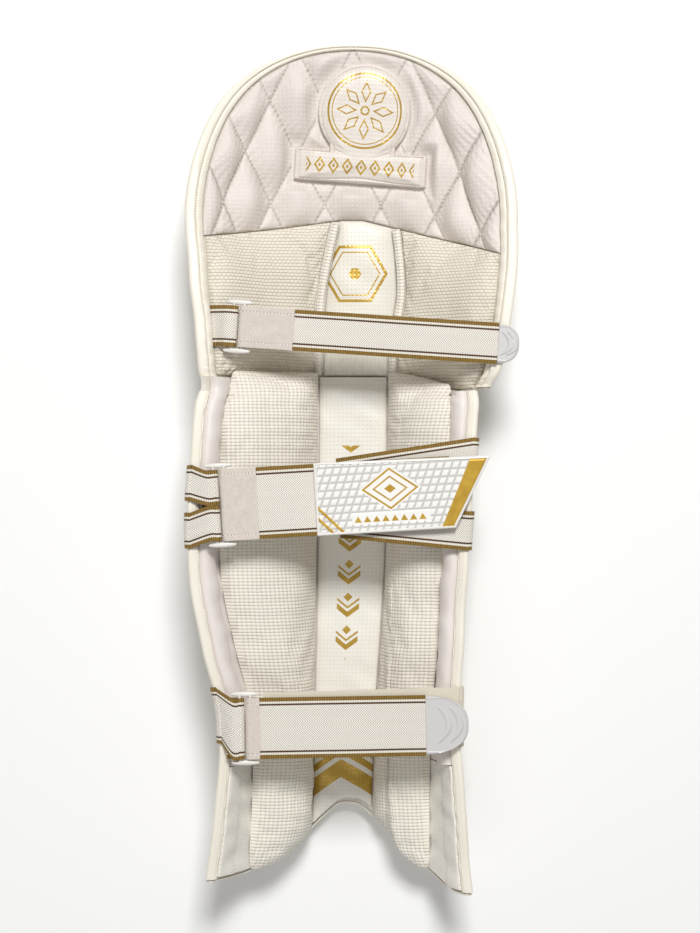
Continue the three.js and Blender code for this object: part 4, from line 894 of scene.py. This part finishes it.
def quilt_seams(s, y):
    """Distances to the nearest seam of each of the lattice's two families, and the places along those
    seams."""
    across, along = LATTICE
    bowed = y + np.where(s > 0, 0.0018 * s * s, 0)
    lean = bowed - (KNEE_TOP - LATTICE_DROP) + 1.5 * ripple(s, y, 40, 90)
    first, second = s / across + lean / along, s / across - lean / along
    spacing = 1 / math.hypot(1 / across, 1 / along)
    near = [np.abs(n - np.round(n)) * spacing for n in (first, second)]
    return near, (second * spacing, first * spacing), spacing


def badge_distance(s, y):
    """How far a place on the quilting is outside the badge's outline, and negative inside it."""
    sine, cosine = math.sin(BADGE["tilt"]), math.cos(BADGE["tilt"])
    right, up = s - BADGE["across"], y - BADGE["along"]
    x, rise = right * cosine - up * sine, right * sine + up * cosine
    disc = np.hypot(x, rise) - BADGE["radius"]
    middle = BADGE["bar_top"] - BADGE["width"] / 2
    bar = np.maximum(np.abs(x) - BADGE["half"], np.abs(rise - middle) - BADGE["width"] / 2)
    neck = np.maximum(np.abs(x) - 29.7, np.abs(rise + 33) - 5)
    return np.minimum(np.minimum(disc, bar), neck)


def add_quilted_lining(look):
    """Pillows over a diamond lattice: each pillow's height is a power of its distances to the seams
    beside it. The seams pull short puckers across themselves, and the pillows fall away towards the
    binding round them."""
    inset = BINDING + 1.5
    u, v = np.sin((2 * even(204) - 1) * np.pi / 2)[None], even(164)[:, None]

    def place(y):
        return u * (reach(TOP_HAT, np.minimum(y, DOME_START), u) - inset)
    foot, top = knee_crossing(place) + 0.8, dome_line(place(DOME_START), inset)
    s, y = grid(place, v, foot, top)
    half = reach(TOP_HAT, np.minimum(y, DOME_START), s) - inset
    over = np.maximum(y - DOME_START, 0)
    rise = LENGTH - crown_inset(inset) - DOME_START
    share = np.abs(s / half) ** CROWN_POWER + (over / rise) ** FLANK_POWER
    share = np.maximum(share, 1e-6) ** 0.5
    edge = np.hypot(s, over) * (1 / share - 1)
    near, along, spacing = quilt_seams(s, y)
    pillow = (np.sin(np.pi * near[0] / spacing) * np.sin(np.pi * near[1] / spacing)) ** 0.68
    pillow = pillow * (1 - np.exp(-np.maximum(edge, 0) / 7)) ** 0.6
    pillow = pillow * (1 - np.exp(-np.maximum(y - foot, 0) / 7)) ** 0.6
    tug = sum(
        waving(at, 6.5, 2.5 * ripple(s, y, 50, 40)) * np.exp(-gap / 8) * (1 - np.exp(-gap / 1.5))
        for gap, at in zip(near, along)
    )
    tug = tug + 1.2 * waving(s + y, 8) * np.exp(-edge / 7) * (1 - np.exp(-edge / 1.5))
    outside = badge_distance(s, y)
    clear = smooth(outside, 1, 15)
    creases = waving(s, 9, 2 * ripple(s, y, 55, 30))
    pulled = creases * np.exp(-np.maximum(outside - 2, 0) / 9) * smooth(outside, 0, 4)
    height = 2.2 + clear * (12.5 * pillow + 0.5 * tug + 0.5 * ripple(s, y, 42, 34)) + 0.5 * pulled
    ends = crown(0.5 + 0.5 * u, 14) * crown(0.04 + 0.92 * v, 14)
    seam = np.minimum(near[0], near[1])
    seam = np.where(outside < 2, 9, seam)
    solid = layer(TOP_HAT, s, y, GAP, GAP + 1 + (np.maximum(height, 1.6) - 1) * ends, seam, s, y)
    stand_in("quilted_lining", look, solid, fill=0.7)


def add_badge(look):
    """Rings of points that shrink from the outline of a disc, neck and bar onto a point inside all three."""
    radius, half, width, top = (BADGE[key] for key in ("radius", "half", "width", "bar_top"))
    centre = top - 0.25 * width
    turn = np.linspace(0, 2 * np.pi, 270, endpoint=False)[None]
    right, up = np.sin(turn), np.cos(turn)
    wide, steep = np.maximum(np.abs(right), 1e-6), np.maximum(np.abs(up), 1e-6)
    disc = -centre * up + np.sqrt(np.maximum(radius ** 2 - (centre * right) ** 2, 0))
    neck = np.where(up > 0, np.minimum(29.7 / wide, (-29.7 - centre) / steep), 0)
    bar = np.minimum(half / wide, np.where(up > 0, top - centre, centre - top + width) / steep)
    far = np.maximum(np.maximum(disc, neck), bar)
    share = np.sin(even(38)[:, None] * np.pi / 2) * 0.985 + 0.015
    x, rise = far * share * right, centre + far * share * up
    sine, cosine = math.sin(BADGE["tilt"]), math.cos(BADGE["tilt"])
    s, y = BADGE["across"] + x * cosine + rise * sine, BADGE["along"] - x * sine + rise * cosine
    inside = far * (1 - share) * 0.9
    fold = np.where(np.hypot(x, rise) < radius, 0, np.exp(-np.abs(rise - top) / 2.2)) * (np.abs(x) < half - 3)
    edge = 0.5 + 0.5 * np.sqrt(np.clip(1 - share ** 9, 0, 1))
    base = 2 * GAP + 2.2
    height = base + 8.2 * edge + 2.2 * smooth(inside, 3.4, 18) - 1.5 * np.exp(-((inside - 3.2) / 0.9) ** 2)
    height = height - 1.6 * fold + 0.3 * ripple(s, y, 61, 24)
    cloth = stacked(x, rise, inside)
    solid = closed(skin(TOP_HAT, s, y, base + 0 * s), skin(TOP_HAT, s, y, height), cloth, wrap=True)
    stand_in("emblem_badge", look, solid, fill=0.5)


def add_knee(mesh_look, piping_look, cup_look):
    """Pads crowned both ways, each gathered at its outer foot, with a stuffed piping and a crowned panel
    between."""
    room = 2 * PIPING + 1.4 * GAP
    for side, sign in (("left", -1), ("right", 1)):
        u, v = rims(86)[None], rims(86)[:, None]

        def place(y):
            inner = edge_of(KNEE_EDGES, side, y) + sign * room
            return inner + (sign * (reach(TOP_HAT, y, sign) - BINDING - 4) - inner) * u
        foot, top = knee_seam(place(SHIN_LENGTH)) + 2, knee_crossing(place) - 0.5
        s, y = grid(place, v, foot, top)
        gather = waving(s * 0.8 + 9 * ripple(s, y, 73, 60), 9) * (1 - smooth(y - foot, 2, 26)) * 1.3
        corner = waving(y, 7, 4 * u) * smooth(u, 0.6, 0.95) * (1 - smooth(v, 0.2, 0.5)) * 1.6
        uneven = 0.6 * ripple(s, y, 70 + sign, 45) + gather + corner
        height = 1 + (15 + uneven) * crown(0.004 + 0.992 * u, 3.4) * crown(0.003 + 0.99 * v, 4)
        pad = layer(TOP_HAT, s, y, GAP, GAP + height, sewn=(3, 4.0, 0.016, 4.0))
        stand_in("knee_pad_" + side, mesh_look, pad, fill=0.8)

        at = even(120)
        along = 464 + (knee_line(edge_of(KNEE_EDGES, side, KNEE_TOP)) - 466) * at
        route = skin(TOP_HAT, edge_of(KNEE_EDGES, side, along) + sign * PIPING, along, GAP + 0.2 + PIPING)
        radii = PIPING * (1 + 0.05 * ripple(along, 0, 75 + sign, 25))
        radii = radii * (0.45 + 0.55 * crown(0.5 * at + 0.02, 8))
        stand_in("knee_piping_" + side, piping_look, tube(route, radii, 20), fill=0.9)

    u, v = rims(54)[None], rims(70)[:, None]

    def cup_place(y):
        left, right = edge_of(KNEE_EDGES, "left", y) + GAP, edge_of(KNEE_EDGES, "right", y) - GAP
        return left + (right - left) * u
    top = knee_crossing(cup_place) - 0.5
    s, y = grid(cup_place, v, 463, top)
    gather = waving(s + 5 * ripple(s, y, 79, 50), 8.5) * (1 - smooth(y, 466, 492))
    height = 1.2 + (6.8 + 0.5 * ripple(s, y, 77, 35) + gather) * crown(u, 3) * crown(v, 5)
    cup = layer(TOP_HAT, s, y, GAP, GAP + height, 0.0, s - 2.0, y - 556.0)
    stand_in("knee_cup", cup_look, cup, fill=0.6)


def add_linings(ankle_look, shin_look):
    """Cloth over the shell from binding to binding, with slow ripples of up to 0.6 mm."""
    u = np.sin((2 * even(100)[None] - 1) * np.pi / 2)

    def place(y):
        return u * (reach(SHIN, y, u) - SHIN_BINDING - 1)
    for name, look in (("ankle_lining", ankle_look), ("shin_lining", shin_look)):
        ankle = name == "ankle_lining"
        v = even(46 if ankle else 110)[:, None]
        foot = arch_line(place(0.0)) + 3 if ankle else ANKLE_SEAM + 0.5
        top = ANKLE_SEAM - 0.5 if ankle else knee_seam(place(SHIN_LENGTH)) - 1
        s, y = grid(place, v, foot, top)
        from_edge = reach(SHIN, y, s) - SHIN_BINDING - 1 - np.abs(s)
        roll = crown(np.clip(from_edge / 21, 0, 1), 2.2) * (1 if not ankle else 0.2)
        wrinkle = 0.8 * ripple(s * 0.7, y * 2, 80 + ankle, 44) * smooth(np.abs(s), 60, 90)
        gathers = np.sin(y * 0.75 + 0.05 * s + 1.5 * np.sin(y * 0.21))
        pull = gathers * np.exp(-np.maximum(top - y, 0) / 17) * (not ankle)
        wrinkle = wrinkle + 1.5 * pull * smooth(np.abs(s), 85, 115)
        high = GAP + LINING + 0.3 + 7.0 * roll + wrinkle * (1 - np.exp(-from_edge / 4))
        stand_in(name, look, layer(SHIN, s, y, GAP, high + 0 * s))


def add_bolsters(look):
    """Long rolls: each one's height is a crown across it, a crown along it and the table's own height."""
    for side, sign in (("left", -1), ("right", 1)):
        u, v = rims(74)[None], rims(172)[:, None]

        def place(y):
            inner = edge_of(CHANNEL_EDGES, side, y) + sign * 1.2
            half = reach(SHIN, np.minimum(y, SHIN_LENGTH - KNEE_PINCH), sign)
            outer = sign * half * curve(BOLSTERS, side, y / LENGTH)
            drawn = 9 * (1 - crown(v, 20)) + 5 * smooth(y, SHIN_LENGTH - 23, SHIN_LENGTH - 13)
            return inner + (outer - sign * drawn - inner) * u
        foot, top = arch_line(place(0.0)) - 1.5 + 1.5 * u, knee_seam(place(SHIN_LENGTH)) + 6
        s, y = grid(place, v, foot, top)
        hump = crown(np.clip(0.003 + 0.993 * u ** 0.82, 0, 1), 2.7)
        ends = crown(0.002 + 0.996 * v, 16)
        rows = 0.35 * waving(y, 13.2, 0.6 * ripple(s, y, 93, 80)) + 0.6 * ripple(s, y, 90 + sign, 80)
        rise = 40 * curve(BOLSTERS, side + "_height", y / LENGTH) - 3 + rows
        high = ON_LINING + 1 + (rise + 2) * hump * ends
        roll = layer(SHIN, s, y, ON_LINING, high, sewn=(3, 4.0, 0.005, 2.5))
        stand_in("bolster_" + side, look, roll, fill=0.9)


def add_channel(look):
    """The strip's height is a crown across it, 5 mm at the most."""
    u, v = rims(34)[None], even(136)[:, None]

    def place(y):
        left, right = edge_of(CHANNEL_EDGES, "left", y), edge_of(CHANNEL_EDGES, "right", y)
        return left + (right - left) * u
    foot = arch_line(place(0.0)) + 4
    s, y = grid(place, v, foot, SHIN_LENGTH + 2)
    gather = waving(s + 4 * ripple(s, y, 98, 40), 9) * smooth(y, SHIN_LENGTH - 26, SHIN_LENGTH - 4)
    full = 4.4 + 0.3 * ripple(s, y, 97, 30) + 0.6 * gather
    ends = 0.2 + 0.8 * crown(0.004 + 0.99 * v, 26)
    ends = ends * (1 - 0.6 * smooth(y, SHIN_LENGTH - 18, SHIN_LENGTH + 2))
    high = ON_LINING + 0.6 + full * crown(u, 5) * ends
    stand_in("channel_pad", look, layer(SHIN, s, y, ON_LINING, high), fill=0.5)


def binding_height(t, along, seed, full):
    """Across a binding's lining side, from the edge inwards: a roll, a stitched groove and a broad low
    fold."""
    roll = crown(np.clip(0.25 + 0.75 * t / 0.34, 0, 1), 2.3) * (full + 0.3 * ripple(along, 0, seed, 26)) * 0.7
    fold = crown(np.clip((t - 0.36) / 0.64, 0, 1), 2.6) * (full * 0.8 + 0.3 * ripple(along, 0, seed + 9, 17))
    return GAP + 0.4 + np.maximum(roll, fold)


def binding_section(width, along, seed, full):
    """A binding's section: in from the shell's outer face, round its edge in a half circle, and over the
    lining side. Gives, for its under and upper side, how far each point is in from the edge and how high
    it is."""
    count = len(along)
    face, turn, t = 7 - 7 * even(3)[:-1], even(10)[:-1] * np.pi, even(21)[None]
    sides = []
    for proud, lying in ((0.1, 0.5 + 0 * t), (0.5, binding_height(t, along, seed, full))):
        radius = EDGE / 2 + proud
        inset = np.concatenate([face, -radius * np.sin(turn), width * t[0]])
        rise = np.concatenate([0 * face - EDGE - proud, -EDGE / 2 - radius * np.cos(turn)])
        lying = np.broadcast_to(lying, (count, t.shape[1]))
        sides.append((inset[None], np.concatenate([np.broadcast_to(rise, (count, len(rise))), lying], 1)))
    return sides


def add_bindings(look):
    """Strips that wrap the wings' edges and the dome's, in the shape that binding_section gives."""
    for side, sign, tip in (("left", -1, TIPS[0]), ("right", 1, TIPS[1])):
        v, foot = even(150)[:, None], tip + 1
        y = foot + (knee_seam(reach(SHIN, SHIN_LENGTH, sign)) - 1 - foot) * v
        sides = binding_section(SHIN_BINDING, y, 100 + sign, 1.7)
        skins = [skin(SHIN, sign * (reach(SHIN, y, sign) - inset), y, rise) for inset, rise in sides]
        inset = sides[1][0] * BINDING / SHIN_BINDING
        cloth = stacked(inset, y, inset)
        stand_in("edge_binding_" + side, look, closed(*skins, cloth))

    run, v = 0.22, even(440)[:, None]
    sign = np.where(v < 0.5, -1, 1)
    from_foot = 0.5 - np.abs(v - 0.5)
    foot = knee_seam(reach(TOP_HAT, SHIN_LENGTH, sign)) + 3
    side_y = foot + (DOME_START - foot) * from_foot / run
    angle = np.clip((np.pi / 2) * (from_foot - run) / (0.5 - run), 0, np.pi / 2)
    straight = from_foot <= run

    gathers = np.sin(side_y * 1.15 + 1.5 * np.sin(side_y * 0.4))
    fold = 1.3 * gathers * np.exp(-(side_y - foot) / 13) * straight

    def dome_skin(inset, rise):
        rise = rise + fold * (rise > 0)
        half = reach(TOP_HAT, np.minimum(side_y, DOME_START), sign) - inset
        round_s = half * np.cos(angle) ** (2 / CROWN_POWER)
        round_y = DOME_START + (LENGTH - crown_inset(inset) - DOME_START) * np.sin(angle) ** (2 / FLANK_POWER)
        s, y = np.where(straight, half, round_s), np.where(straight, side_y, round_y)
        return skin(TOP_HAT, sign * s, y, rise)
    sides = binding_section(BINDING, v * 1100, 103, 3.0)
    inset = sides[1][0]
    cloth = stacked(inset, v * 1100, inset)
    stand_in("edge_binding_top", look, closed(*[dome_skin(*side) for side in sides], cloth))


def add_arch_tape(look):
    """A tape over the shell's cut edge, set square to the arch, rounded across its width."""
    u, t = shell_columns(), even(12)[:, None]

    def place(y):
        return column_place(u, reach(SHIN, y, u))
    y = arch_line(place(0.0))
    s = place(y)
    slope = np.gradient(y[0]) / np.gradient(s[0])
    steep = np.hypot(1, slope)[None]
    depth = -1.6 + (thickness(SHIN, s, y, LENGTH) + 1.1) * t
    near, far = 0.3, 0.6 + 1.6 * crown(0.02 + 0.96 * t, 4)
    cloth = stacked(s, y + depth, 4.0 + 0 * depth)
    skins = [on_floor(skin(SHIN, s, y - gap * steep, -depth)) for gap in (near, far)]
    stand_in("arch_tape", look, closed(skins[0], skins[1], cloth))


# Straps

# The turn over a wing's edge, the webbing's thickness, and the gap between layers of webbing
TURN, WEB, LAYER = EDGE / 2 + 1.4, 1.6, 0.6
# How far each ring's bars are from its middle, the turn of the cloth round them, and the webbing's height
BAR, BAR_TURN, FLOOR = 4.6, 3 * 0.71 + 0.35, WEB + LAYER


def wing_edge(surface, side, y):
    """The middle of a wing's edge at y, and how far the wing leans there."""
    middle = skin(surface, side * reach(surface, y, side), y, -EDGE / 2)
    return middle, wing(surface, np.asarray(y, float), side)[2]


def over_edge(surface, side, y, width):
    """The top of the turn over a wing's edge, as high as it gets across the strap's width."""
    spread = y + width * np.linspace(-0.5, 0.5, 5)
    point = wing_edge(surface, side, y)[0] + [0, 0, TURN]
    point[2] = wing_edge(surface, side, spread)[0][:, 2].max() + TURN
    return point


class Run:
    """A strap's own frame: along it from the left wing's edge, across it towards the pad's top, and up."""

    def __init__(self, strap, lift, start=None):
        """Runs from the left wing's edge, or from start, to the right wing's edge raised by lift."""
        self.strap, self.surface = strap, strap["surface"]
        end = over_edge(self.surface, 1, strap["right"], strap["width"]) + [0, 0, lift]
        self.start = over_edge(self.surface, -1, strap["left"], strap["width"]) if start is None else start
        self.along = (end - self.start) / np.linalg.norm(end - self.start)
        self.across = np.cross([0, 0, 1.0], self.along)
        self.across /= np.linalg.norm(self.across)
        self.up = np.cross(self.along, self.across)

    def at(self, a, b, c):
        """Points a along, b across and c up, whole arrays at once."""
        a, b, c = np.broadcast_arrays(np.asarray(a, float), b, c)
        return self.start + a[..., None] * self.along + b[..., None] * self.across + c[..., None] * self.up


def wing_climb(surface, side, y):
    """A strap's climb up the outside of a wing and its turn over the edge: rows of points, one column per
    y."""
    far = reach(surface, y, side)
    share = np.array([1, 0.66, 0.33, 0.08])[:, None]
    s = side * (far[None] - 40 * share)
    rise = skin(surface, s, y[None], -thickness(surface, s, y[None] + 0 * s, LENGTH) - TURN + EDGE / 2)
    middle, lean = wing_edge(surface, side, y)
    swing = (np.pi / 2 - lean)[None] + (lean[None] - np.pi) * even(9)[:, None]
    out = np.stack([side * np.cos(swing), 0 * swing, -np.sin(swing)], -1)
    return np.concatenate([rise, middle[None] + out * TURN])


def seam_climb(surface, side, y):
    """A strap's start at the seam inside a wing's binding: three rows of points, one above the other."""
    s = side * (reach(surface, y, side) - BINDING - WEB - 0.8)
    return skin(surface, s[None], y[None], np.array([0.9, 4, 6.5])[:, None])


def half_turn(run, bar, b, first, last, steps=9):
    """Points that swing round a ring's bar from one angle to another."""
    swing = np.linspace(first, last, steps)[:, None]
    return run.at(bar + BAR_TURN * np.cos(swing), b[None], 2.4 + BAR_TURN * np.sin(swing))


def add_anchor(name, run, look, width, wing_width, wing_along, ring_across, inside=False):
    """A webbing from the left wing, through the ring and back under itself."""
    t = even(15) - 0.5
    climb = (seam_climb if inside else wing_climb)(run.surface, -1, wing_along + t * wing_width)
    b = ring_across + t * width
    bar = run.strap["ring"] - BAR
    route = np.concatenate([
        climb, run.at(bar - 6, b, BAR_TURN + 2)[None],
        half_turn(run, bar, b, np.pi / 2, -np.pi / 2), run.at(bar - 12, b, 2.4 - BAR_TURN)[None],
    ])
    stand_in(name, look, band(refine(route, 5), WEB, 1, width))


def add_ring(name, run, look):
    """Two round bars between two lozenge plates with round edges."""
    middle, half = run.strap["ring"], run.strap["width"] / 2 + 0.8
    solids = []
    for side in (-1, 1):
        b = np.linspace(-half - 2, half + 2, 24)
        solids.append(tube(run.at(middle + side * BAR, b, 2.4), 1.5, 16))
        a = np.linspace(-1, 1, 40)
        swell = 0.4 + 1.9 * (1 - np.abs(a) ** 2.2) ** 0.6
        solids.append(tube(run.at(middle + 12.0 * a, side * (half + 2.5), 2.4), swell, 18, flatten=0.72))
    stand_in(name, look, *solids)


def add_sleeve(name, run, look):
    """Cloth folded round the ring's other bar, closed flat over the webbing's end."""
    b = (even(28) - 0.5) * run.strap["width"]
    bar, end = run.strap["ring"] + BAR, run.strap["sleeve"]
    top = FLOOR + WEB + 0.4
    upper = np.linspace(end, bar + 4, 7)[:-1]
    wave = 0.35 * ripple(upper[:, None], b[None], 120, 18)
    swell = 0.4 * crown((upper - bar) / (end - bar + 1e-6), 2)[:, None]
    route = np.concatenate([
        run.at(upper[:, None], b[None], top + swell + wave),
        run.at(bar + 4, b, 2.4 + BAR_TURN)[None], half_turn(run, bar, b, np.pi / 2, 3 * np.pi / 2),
        run.at(bar + 4, b, 2.4 - BAR_TURN)[None], run.at(end, b, FLOOR - 0.4)[None],
    ])
    stand_in(name, look, band(refine(route, 5), 1.8, -1, run.strap["width"]))


def add_strap_webbing(name, run, look):
    """The striped webbing across the leg, with a slow wave of up to 0.4 mm."""
    strap = run.strap
    start = min(strap["ring"] + BAR + BAR_TURN + 2, strap["sleeve"] - 4)
    a, b = np.linspace(start, strap["end"], 80), (even(32) - 0.5) * strap["width"]
    wave = 0.35 * ripple(a[:, None], 0.4 * b[None], 124, 60) * smooth(a, start + 20, start + 60)[:, None]
    stand_in(name, look, band(run.at(a[:, None], b[None], FLOOR + wave), WEB, 1, strap["width"]))


def add_right_band(name, run, look, width, wing_along, wing_width, end_along, end_across, sink):
    """A band from the right wing, laid across the leg under the strap."""
    t = even(22) - 0.5
    climb = wing_climb(run.surface, 1, wing_along + t * wing_width)
    end = run.at(end_along, end_across + t * width, -sink)
    share = np.array([0.08, 0.22, 0.4, 0.6, 0.8, 1])[:, None, None]
    route = np.concatenate([climb, climb[-1:] + (end[None] - climb[-1:]) * share])
    stand_in(name, look, band(refine(route, 6), WEB, -1, width))


def add_tab(name, run, look, far):
    """A rounded plate with a thin tongue under the webbing: two raised crescents and a raised rim."""
    strap = run.strap
    half = strap["width"] / 2 - 1
    u, v = rims(80)[None], rims(72)[:, None]
    b = half * (2 * v - 1) * 0.999 + 0 * u
    tip = far * (1 - np.abs(b / half) ** 2.7) ** 0.5
    a = -11 + (tip + 11) * u
    inside = np.minimum(tip - a, half - np.abs(b))
    plate = smooth(a, -1.2, 0.2)
    round_edge = crown(np.clip(inside / 2.4, 0, 1) * 0.5 + 0.02, 2)
    height = 1.1 * (1 - plate) + plate * (1.1 + 1.3 * round_edge)
    for share in (0.45, 0.72):
        bend = a - share * far + 6 - 9 * (1 - (b / (half * 0.6)) ** 2)
        width = 3.4 * np.clip(1 - (b / (half * 0.62)) ** 2, 0, 1) + 0.001
        height = height + 1.0 * smooth(1 - np.abs(bend / width), 0, 0.5) * plate
    height = height + 0.5 * (1 - smooth(np.abs(inside - 1.8), 0, 1.2)) * plate
    base = FLOOR - 1.1 - LAYER
    under = run.at(strap["end"] + 0.5 + a, b, base)
    over = run.at(strap["end"] + 0.5 + a, b, base + height)
    cloth = stacked(a, b, inside)
    stand_in(name, look, closed(under, over, cloth))


def add_strap(name, run, web, nylon, sleeve):
    """What every strap has: a ring, a sleeve on the ring, and the webbing across the leg."""
    add_ring(f"strap_{name}_ring", run, nylon)
    add_sleeve(f"strap_{name}_sleeve", run, sleeve)
    add_strap_webbing(f"strap_{name}_webbing", run, web)


def patch_marks(a, b):
    """Which parts of the patch are the end bar and the corner stripes, for its relief."""
    end, width = patch_end(b), patch_bar(b)
    bar = smooth(end - a, 1.6, 2.4) * (1 - smooth(end - a, width, width + 0.8))
    stripe = [1 - smooth(np.abs(patch_corner(a, b) + step), 1.4, 2.2) for step in (0, 9)]
    return bar, np.maximum(*stripe) * smooth(-b, 4, 6)


def add_patch(run, look):
    """A slanted plate: parallelogram studs in rows, a rim, an end bar and two corner stripes, all raised."""
    u, v = even(280)[None], even(100)[:, None]
    b = PATCH_HALF * (2 * v - 1) - 2 * v * u
    end = patch_end(b)
    a = u * end
    sides = np.minimum(b + PATCH_HALF, PATCH_HALF - 2 * u - b)
    inside = np.minimum(sides, np.minimum(a, (end - a) * 0.87))
    bar, stripe = patch_marks(a, b)
    cells = [np.abs(n - np.round(n)) for n in ((a - 0.4 * b) / STUD_ALONG, b / STUD_ACROSS)]
    stud = smooth(np.minimum(cells[0] * STUD_ALONG, cells[1] * STUD_ACROSS), 0.35, 1.5)
    row = (np.abs(a - 65) < 34) * (1 - smooth(np.abs(b + 19), 4.6, 5.4))
    plain = np.maximum(1 - smooth(patch_lozenge(a, b), 1.02, 1.1), row)
    relief = stud * 1.0 * (1 - plain) + plain * 0.6
    relief = relief * (1 - np.maximum(bar, stripe)) + 1.3 * np.maximum(bar, stripe)
    relief = np.where(inside < 1.9, 1.3, relief * smooth(inside, 2.1, 3.0))
    height = 0.7 + 1.5 * crown(np.clip(inside / 1.8, 0, 1) * 0.5 + 0.01, 2) + relief
    base = FLOOR + WEB + LAYER
    cloth = stacked(a, b, inside)
    along = PATCH_START + a
    solid = closed(run.at(along, b, base), run.at(along, b, base + height), cloth)
    stand_in("strap_middle_patch", look, solid)


def add_straps(web, sleeve, loop, nylon, rubber, patch):
    """The three straps, each with its anchors, ring, sleeve, webbing and end."""
    strap = STRAPS["top"]
    inner = reach(TOP_HAT, strap["left"], -1) - BINDING - WEB - 0.8
    run = Run(strap, 0, skin(TOP_HAT, -inner, strap["left"], 6.5) + [0, 0, 2])
    add_anchor("strap_top_anchor", run, web, 36, 36, strap["left"], 0, inside=True)
    add_strap("top", run, web, nylon, sleeve)
    add_tab("strap_top_tab", run, rubber, 18)

    strap = STRAPS["middle"]
    run = Run(strap, WEB + LAYER)
    width, sink, under_patch = 34.1, WEB + LAYER, 127.9
    for name, sign in (("upper", 1), ("lower", -1)):
        left, right = strap["left"] + sign * 20.5, strap["right"] + sign * 32 - 3
        add_anchor("strap_middle_anchor_" + name, run, web, 30.5, 31, left, sign * 15.5)
        end = (under_patch, sign * 17.5)
        add_right_band("strap_middle_right_" + name, run, web, width, right, width, *end, sink)
    add_strap("middle", run, web, nylon, sleeve)
    add_patch(run, patch)

    strap = STRAPS["bottom"]
    run = Run(strap, WEB + LAYER)
    add_anchor("strap_bottom_anchor", run, web, 53, 49, strap["left"] + 11, 0)
    add_strap("bottom", run, web, nylon, sleeve)
    add_tab("strap_bottom_tab", run, rubber, 37)
    add_right_band("strap_bottom_band", run, loop, 53, strap["right"] + 6, 53, strap["sleeve"] + 4, 4, WEB)


leather = leatherette()
mesh_cloth = spacer_mesh()
add_shells(leatherette(sewn=True))
add_knee_rolls(leather)
add_quilted_lining(quilted())
add_badge(dimpled("printed badge leatherette", "badge_leatherette", "#ddd4cb", "#e8e0d8", badge_print))
add_knee(
    spacer_mesh("staggered spacer mesh", 0.5, "#9d937f", "#e6dfd0"), mesh_cloth,
    dimpled("printed knee vinyl", "channel_vinyl", "#e0dbcf", "#ebe7dc", cup_print),
)
add_linings(
    plain_cloth("twill ankle mesh", "ankle_cloth", "#e6e0d2", "#fdfbf5", 2.8, 0.4, twill=True),
    plain_cloth("smooth shin lining", "lining_cloth", "#ddd4ce", "#ebe4df", 0.9, 0.05, rough=0.42),
)
add_bolsters(mesh_cloth)
add_channel(dimpled("printed channel vinyl", "channel_vinyl", "#e9e5dc", "#f2efe7", channel_print))
add_bindings(binding())
add_arch_tape(leather)
add_straps(
    webbing(), sleeve_cloth(),
    plain_cloth("looped fastening cloth", "loop_cloth", "#d9cfbb", "#ece4d3", 1.4, 0.35, rough=0.95),
    moulded("white nylon", "white_nylon", "#e3e0d9", 0.35),
    moulded("grey rubber", "grey_rubber", "#cbc9c8", 0.5),
    patch_plastic(),
)


# Studio: one large soft light from beyond the pad's top, a weak one from its foot, and a pale floor

def area(name, place, target, size, power):
    """A square soft light that faces its target."""
    lamp = bpy.data.lights.new(name, "AREA")
    lamp.shape, lamp.size, lamp.energy = "SQUARE", size, power
    body = bpy.data.objects.new(name, lamp)
    bpy.context.collection.objects.link(body)
    body.location = place
    way = [t - p for t, p in zip(target, place)]
    flat = math.hypot(way[0], way[1])
    body.rotation_euler = (math.atan2(flat, -way[2]), 0, math.atan2(-way[0], way[1]))
    return body


area("key_light", (0.25, 1.6, 3.0), (0, 0, 0), 0.8, 92)
area("fill_light", (-0.7, -1.4, 2.2), (0, 0, 0), 1.6, 9)
bpy.context.scene.view_settings.view_transform = "Standard"

floor_mesh = bpy.data.meshes.new("studio_floor")
floor_mesh.from_pydata([(-6, -6, 0), (6, -6, 0), (6, 6, 0), (-6, 6, 0)], [], [(0, 1, 2, 3)])
floor = bpy.data.objects.new("studio_floor", floor_mesh)
bpy.context.collection.objects.link(floor)
paper = bpy.data.materials.new("white paper floor")
paper.use_nodes = True
paper.node_tree.nodes["Principled BSDF"].inputs["Base Color"].default_value = linear("#f6f6f5")
paper.node_tree.nodes["Principled BSDF"].inputs["Roughness"].default_value = 0.9
floor_mesh.materials.append(paper)

world = bpy.data.worlds.new("studio")
world.use_nodes = True
world.node_tree.nodes["Background"].inputs["Color"].default_value = (1.0, 0.99, 0.98, 1.0)
world.node_tree.nodes["Background"].inputs["Strength"].default_value = 0.3
bpy.context.scene.world = world

lens = bpy.data.cameras.new("photo_camera")
lens.lens, lens.sensor_width, lens.sensor_fit = 78.9, 36.0, "AUTO"
camera = bpy.data.objects.new("photo_camera", lens)
bpy.context.collection.objects.link(camera)
camera.location = (-0.0018, 0.0006, 1.9)
bpy.context.scene.camera = camera
